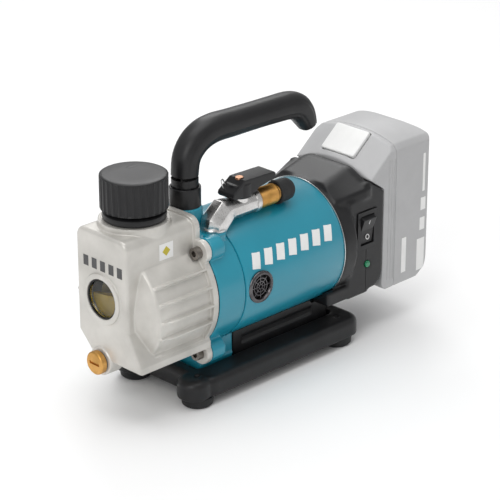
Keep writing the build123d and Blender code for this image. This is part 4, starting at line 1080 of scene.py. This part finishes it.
def make_valve():
    """Forged elbow: an eight-sided barrel that bends down to a round seat."""
    elbow = swept(
        "valve_forging",
        [
            (BARREL_END_X, valve_y, valve_z, 0.92),
            (BARREL_END_X - 0.0008, valve_y, valve_z, 0.98),
            (-0.0285, valve_y, valve_z, 1.0),
            (-0.0395, valve_y, valve_z, 1.01),
            (-0.0425, valve_y, valve_z, 1.1),
            (elbow_x + 0.0085, valve_y, valve_z, 1.32),
            (elbow_x + 0.0012, valve_y, valve_z - 0.0066, 1.34),
            (elbow_x, valve_y, pad_z, 1.24),
        ],
        octagon(BARREL_SIZE),
    )
    edges = elbow.modifiers.new("rounded edges", "BEVEL")
    edges.width = 0.0006
    edges.segments = 2
    edges.limit_method = "ANGLE"
    edges.angle_limit = math.radians(25)
    apply_modifiers(elbow)
    seat = turned(
        "valve_seat",
        [
            (0, ON_AXIS),
            (0, 0.0098),
            (0.0016, 0.0100),
            (0.0030, 0.0092),
            (0.0042, 0.0078),
            (0.0046, ON_AXIS),
        ],
        (elbow_x, valve_y, pad_z),
        (0, 0, 1),
    )
    shoulder = turned(
        "valve_shoulder",
        [
            (0, ON_AXIS),
            (0, 0.0078),
            (0.0010, 0.0084),
            (0.0030, 0.0084),
            (0.0040, 0.0078),
            (0.0040, ON_AXIS),
        ],
        (BARREL_END_X - 0.0042, valve_y, valve_z),
        (1, 0, 0),
    )
    gland = turned(
        "valve_gland",
        [(0, ON_AXIS), (0, 0.0066), (0.0084, 0.0066), (0.0094, 0.0058), (0.0094, ON_AXIS)],
        (STEM_X, valve_y, valve_z),
        (0, 0, 1),
    )
    piece = join([elbow, seat, shoulder, gland], "valve_forging")
    shade(piece, 30)
    return piece


dress(make_valve(), "pump", nickel, ["valve_body"])


COLLAR_LENGTH = 0.0170
COLLAR_RADIUS = 0.00735
THREAD_END = 0.0256
THREAD_RADIUS = 0.00635


def make_fitting():
    """Flare fitting: a finely grooved collar, then the thread under the dust cap."""
    outline = [(0, ON_AXIS), (0, 0.0070)]
    place = 0.0006
    while place < COLLAR_LENGTH:
        outline.append((place, COLLAR_RADIUS))
        outline.append((place + 0.0004, COLLAR_RADIUS - 0.0003))
        place += 0.0008
    outline += [(0.0178, 0.0070), (0.0178, 0.0063)]
    while place < THREAD_END:
        outline.append((place, THREAD_RADIUS))
        outline.append((place + 0.0005, THREAD_RADIUS - 0.00045))
        place += 0.0010
    outline += [(0.0268, 0.0056), (0.0290, 0.0036), (0.0290, 0.0021), (0.0270, ON_AXIS)]
    place_on_valve = (BARREL_END_X, valve_y, valve_z)
    return turned("flare_fitting_turning", outline, place_on_valve, (1, 0, 0), ROUND_STEPS)


dress(make_fitting(), "pump", brass, ["flare_fitting"])

cap_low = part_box("port_cap")[0]
dust_cap = turned(
    "dust_cap",
    [
        (0, 0.0066),
        (0, 0.0082),
        (0.0006, 0.0088),
        (0.0022, 0.0088),
        (0.0028, 0.0084),
        (0.0090, 0.0083),
        (0.0125, 0.0078),
        (0.0145, 0.0064),
        (0.0152, 0.0040),
        (0.0153, ON_AXIS),
        (0.0110, ON_AXIS),
        (0.0110, 0.0066),
        (0, 0.0066),
    ],
    (cap_low.x, valve_y, valve_z),
    (1, 0, 0),
)
dress(dust_cap, "port_cap", black_rubber, ["port_cap"])

bpy.ops.object.select_all(action="DESELECT")
bpy.ops.mesh.primitive_torus_add(
    major_radius=0.0034,
    minor_radius=0.00045,
    location=(-0.0405, valve_y + 0.0050, 0.1462),
    rotation=(math.radians(70), 0, math.radians(35)),
)
lever_ring = settle(bpy.context.object, "lever_wire_ring")
shade(lever_ring, 60)
dress(lever_ring, "valve_lever", nickel)


# -------------------------------------------------------------- printed marks
ACROSS = (1, 0, 0)
UP = (0, 0, 1)


TUBE_BARS = 7
TUBE_BAR_FIRST_X = -0.0365
TUBE_BAR_STEP = 0.0120
TANK_BARS = 5
TANK_BAR_FIRST_Y = 0.016
TANK_BAR_STEP = 0.0085


def make_tube_bars():
    """A row of plain leaning white bars, printed on both sides of the motor tube."""
    bars = []
    lean = math.radians(14)
    for side in (-1, 1):
        for place in range(TUBE_BARS):
            x = TUBE_BAR_FIRST_X + TUBE_BAR_STEP * place
            across = (-side * math.cos(lean), 0, side * math.sin(lean))
            up = (math.sin(lean), 0, math.cos(lean))
            bar = patch("bar", (x, side * 0.047, 0.0990), across, up, 0.0075, 0.0145)
            bars.append(stick(bar, tube))
    return join(bars, "tube_bars")


dress(make_tube_bars(), "pump", white_ink)


def make_tank_bars():
    """A row of plain dark bars on the tank's face, over the sight glass."""
    bars = []
    for place in range(TANK_BARS):
        y = TANK_BAR_FIRST_Y - TANK_BAR_STEP * place
        bar = patch("bar", (-0.1425, y, 0.1110), (0, -1, 0), UP, 0.0050, 0.0075)
        bars.append(stick(bar, tank))
    return join(bars, "tank_bars")


dress(make_tank_bars(), "pump", grey_ink)

STICKER_PLACE = (-0.1052, -0.0255, 0.1188)
sticker = stick(patch("tank_sticker", STICKER_PLACE, ACROSS, UP, 0.0125, 0.0115), tank)
dress(sticker, "pump", white_ink)
dot = patch("sticker_dot", STICKER_PLACE, (1, 0, 1), (-1, 0, 1), 0.0050, 0.0050)
stick(dot, tank, 0.00012)
dress(dot, "pump", yellow_ink)


def make_pack_bars():
    """Plain white bars up the near side of the battery."""
    bars = []
    for x, z, width, height in (
        (0.1415, 0.0475, 0.0085, 0.0255),
        (0.1425, 0.0720, 0.0055, 0.0100),
        (0.1430, 0.0880, 0.0055, 0.0100),
        (0.1225, 0.0520, 0.0050, 0.0280),
        (0.1430, 0.1130, 0.0025, 0.0300),
    ):
        bar = patch("bar", (x, -0.0395, z), ACROSS, UP, width, height)
        bars.append(stick(bar, pack_back))
    return join(bars, "pack_bars")


dress(make_pack_bars(), "battery", white_ink)


def make_pack_ribs():
    """Fine upright ribs on both flanks of the battery, beside its front edge."""
    ribs = []
    for side in (-1, 1):
        for x in (0.1045, 0.1078, 0.1105):
            rib = block(
                "rib",
                (x - 0.0004, side * 0.0380 - 0.0003, 0.037),
                (x + 0.0004, side * 0.0380 + 0.0003, 0.132),
                0.00025,
                2,
            )
            ribs.append(rib)
    return join(ribs, "pack_ribs")


dress(make_pack_ribs(), "battery", pack_grey)
dress(pack_front, "battery", pack_grey, ["battery_top"])
dress(pack_back, "battery", pack_grey, ["battery_case"])


frame_low, frame_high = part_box("switch_frame")
line_x = (frame_low.x + frame_high.x) / 2
groove = block(
    "parting_line",
    (line_x - 0.0002, frame_low.y - 0.003, frame_low.z - 0.034),
    (line_x + 0.0002, frame_low.y + 0.0042, frame_low.z - 0.001),
    0.00005,
    1,
)
carve(cover, groove)
shade(cover, 60)
dress(cover, "pump", black_plastic, ["rear_housing"])


ROCKER_LEAN = 12


def make_switch_marks():
    """The line and the ring that mark on and off."""
    switch_low, switch_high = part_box("switch_rocker")
    x = (switch_low.x + switch_high.x) / 2
    z = (switch_low.z + switch_high.z) / 2
    line = patch("on_mark", (x, switch_low.y - 0.002, z + 0.0055), ACROSS, UP, 0.0006, 0.0034, 2)
    bpy.ops.object.select_all(action="DESELECT")
    bpy.ops.mesh.primitive_torus_add(
        major_radius=0.0017,
        minor_radius=0.0003,
        location=(x, switch_low.y + 0.0030, z - 0.0055),
        rotation=(math.radians(90 - ROCKER_LEAN), 0, 0),
    )
    ring = settle(bpy.context.object, "off_mark")
    return join([stick(line, rocker), ring], "switch_marks")


dress(make_switch_marks(), "switch_rocker", white_ink)
dress(rocker, "switch_rocker", black_plastic, ["switch_rocker"])


# ------------------------------------------------------------ light, floor, camera
def make_stage():
    """A plain pale floor with three soft lights round it."""
    bpy.ops.object.select_all(action="DESELECT")
    bpy.ops.mesh.primitive_plane_add(size=8.0, location=(0, 0, 0))
    floor = bpy.context.object
    floor.name = "floor"
    paper = bpy.data.materials.new("white paper")
    paper.use_nodes = True
    shader = paper.node_tree.nodes["Principled BSDF"]
    shader.inputs["Base Color"].default_value = (0.93, 0.93, 0.93, 1)
    shader.inputs["Roughness"].default_value = 0.9
    shader.inputs["Specular IOR Level"].default_value = 0.0
    floor.data.materials.append(paper)
    world = bpy.data.worlds.new("soft studio")
    bpy.context.scene.world = world
    world.use_nodes = True
    world.node_tree.nodes["Background"].inputs["Color"].default_value = (1, 1, 1, 1)
    world.node_tree.nodes["Background"].inputs["Strength"].default_value = 0.5
    lights = [
        ("overhead", (0.0, 0.1, 1.5), 12.0, 1.3),
        ("left", (-1.2, -0.5, 0.9), 6.0, 0.8),
        ("back", (0.8, 0.9, 1.1), 5.0, 0.7),
    ]
    for name, place, power, size in lights:
        data = bpy.data.lights.new(name, "AREA")
        data.energy = power
        data.size = size
        lamp = bpy.data.objects.new(name, data)
        lamp.location = place
        aim = Vector((0, 0, 0.08)) - Vector(place)
        lamp.rotation_euler = aim.to_track_quat("-Z", "Y").to_euler()
        bpy.context.scene.collection.objects.link(lamp)
    bpy.context.scene.view_settings.view_transform = "Standard"


def make_camera():
    """Three-quarter view from the tank's end, slightly from above."""
    azimuth = math.radians(-44.76)
    elevation = math.radians(22.83)
    distance = 1.54
    aim = Vector((0.0125, 0.0143, 0.0729))
    forward = Vector(
        (
            -math.sin(azimuth) * math.cos(elevation),
            math.cos(azimuth) * math.cos(elevation),
            -math.sin(elevation),
        )
    )
    data = bpy.data.cameras.new("camera")
    data.lens = 152.4
    data.sensor_width = 36.0
    camera = bpy.data.objects.new("camera", data)
    camera.location = aim - forward * distance
    camera.rotation_euler = forward.to_track_quat("-Z", "Y").to_euler()
    bpy.context.scene.collection.objects.link(camera)
    bpy.context.scene.camera = camera


make_stage()
make_camera()
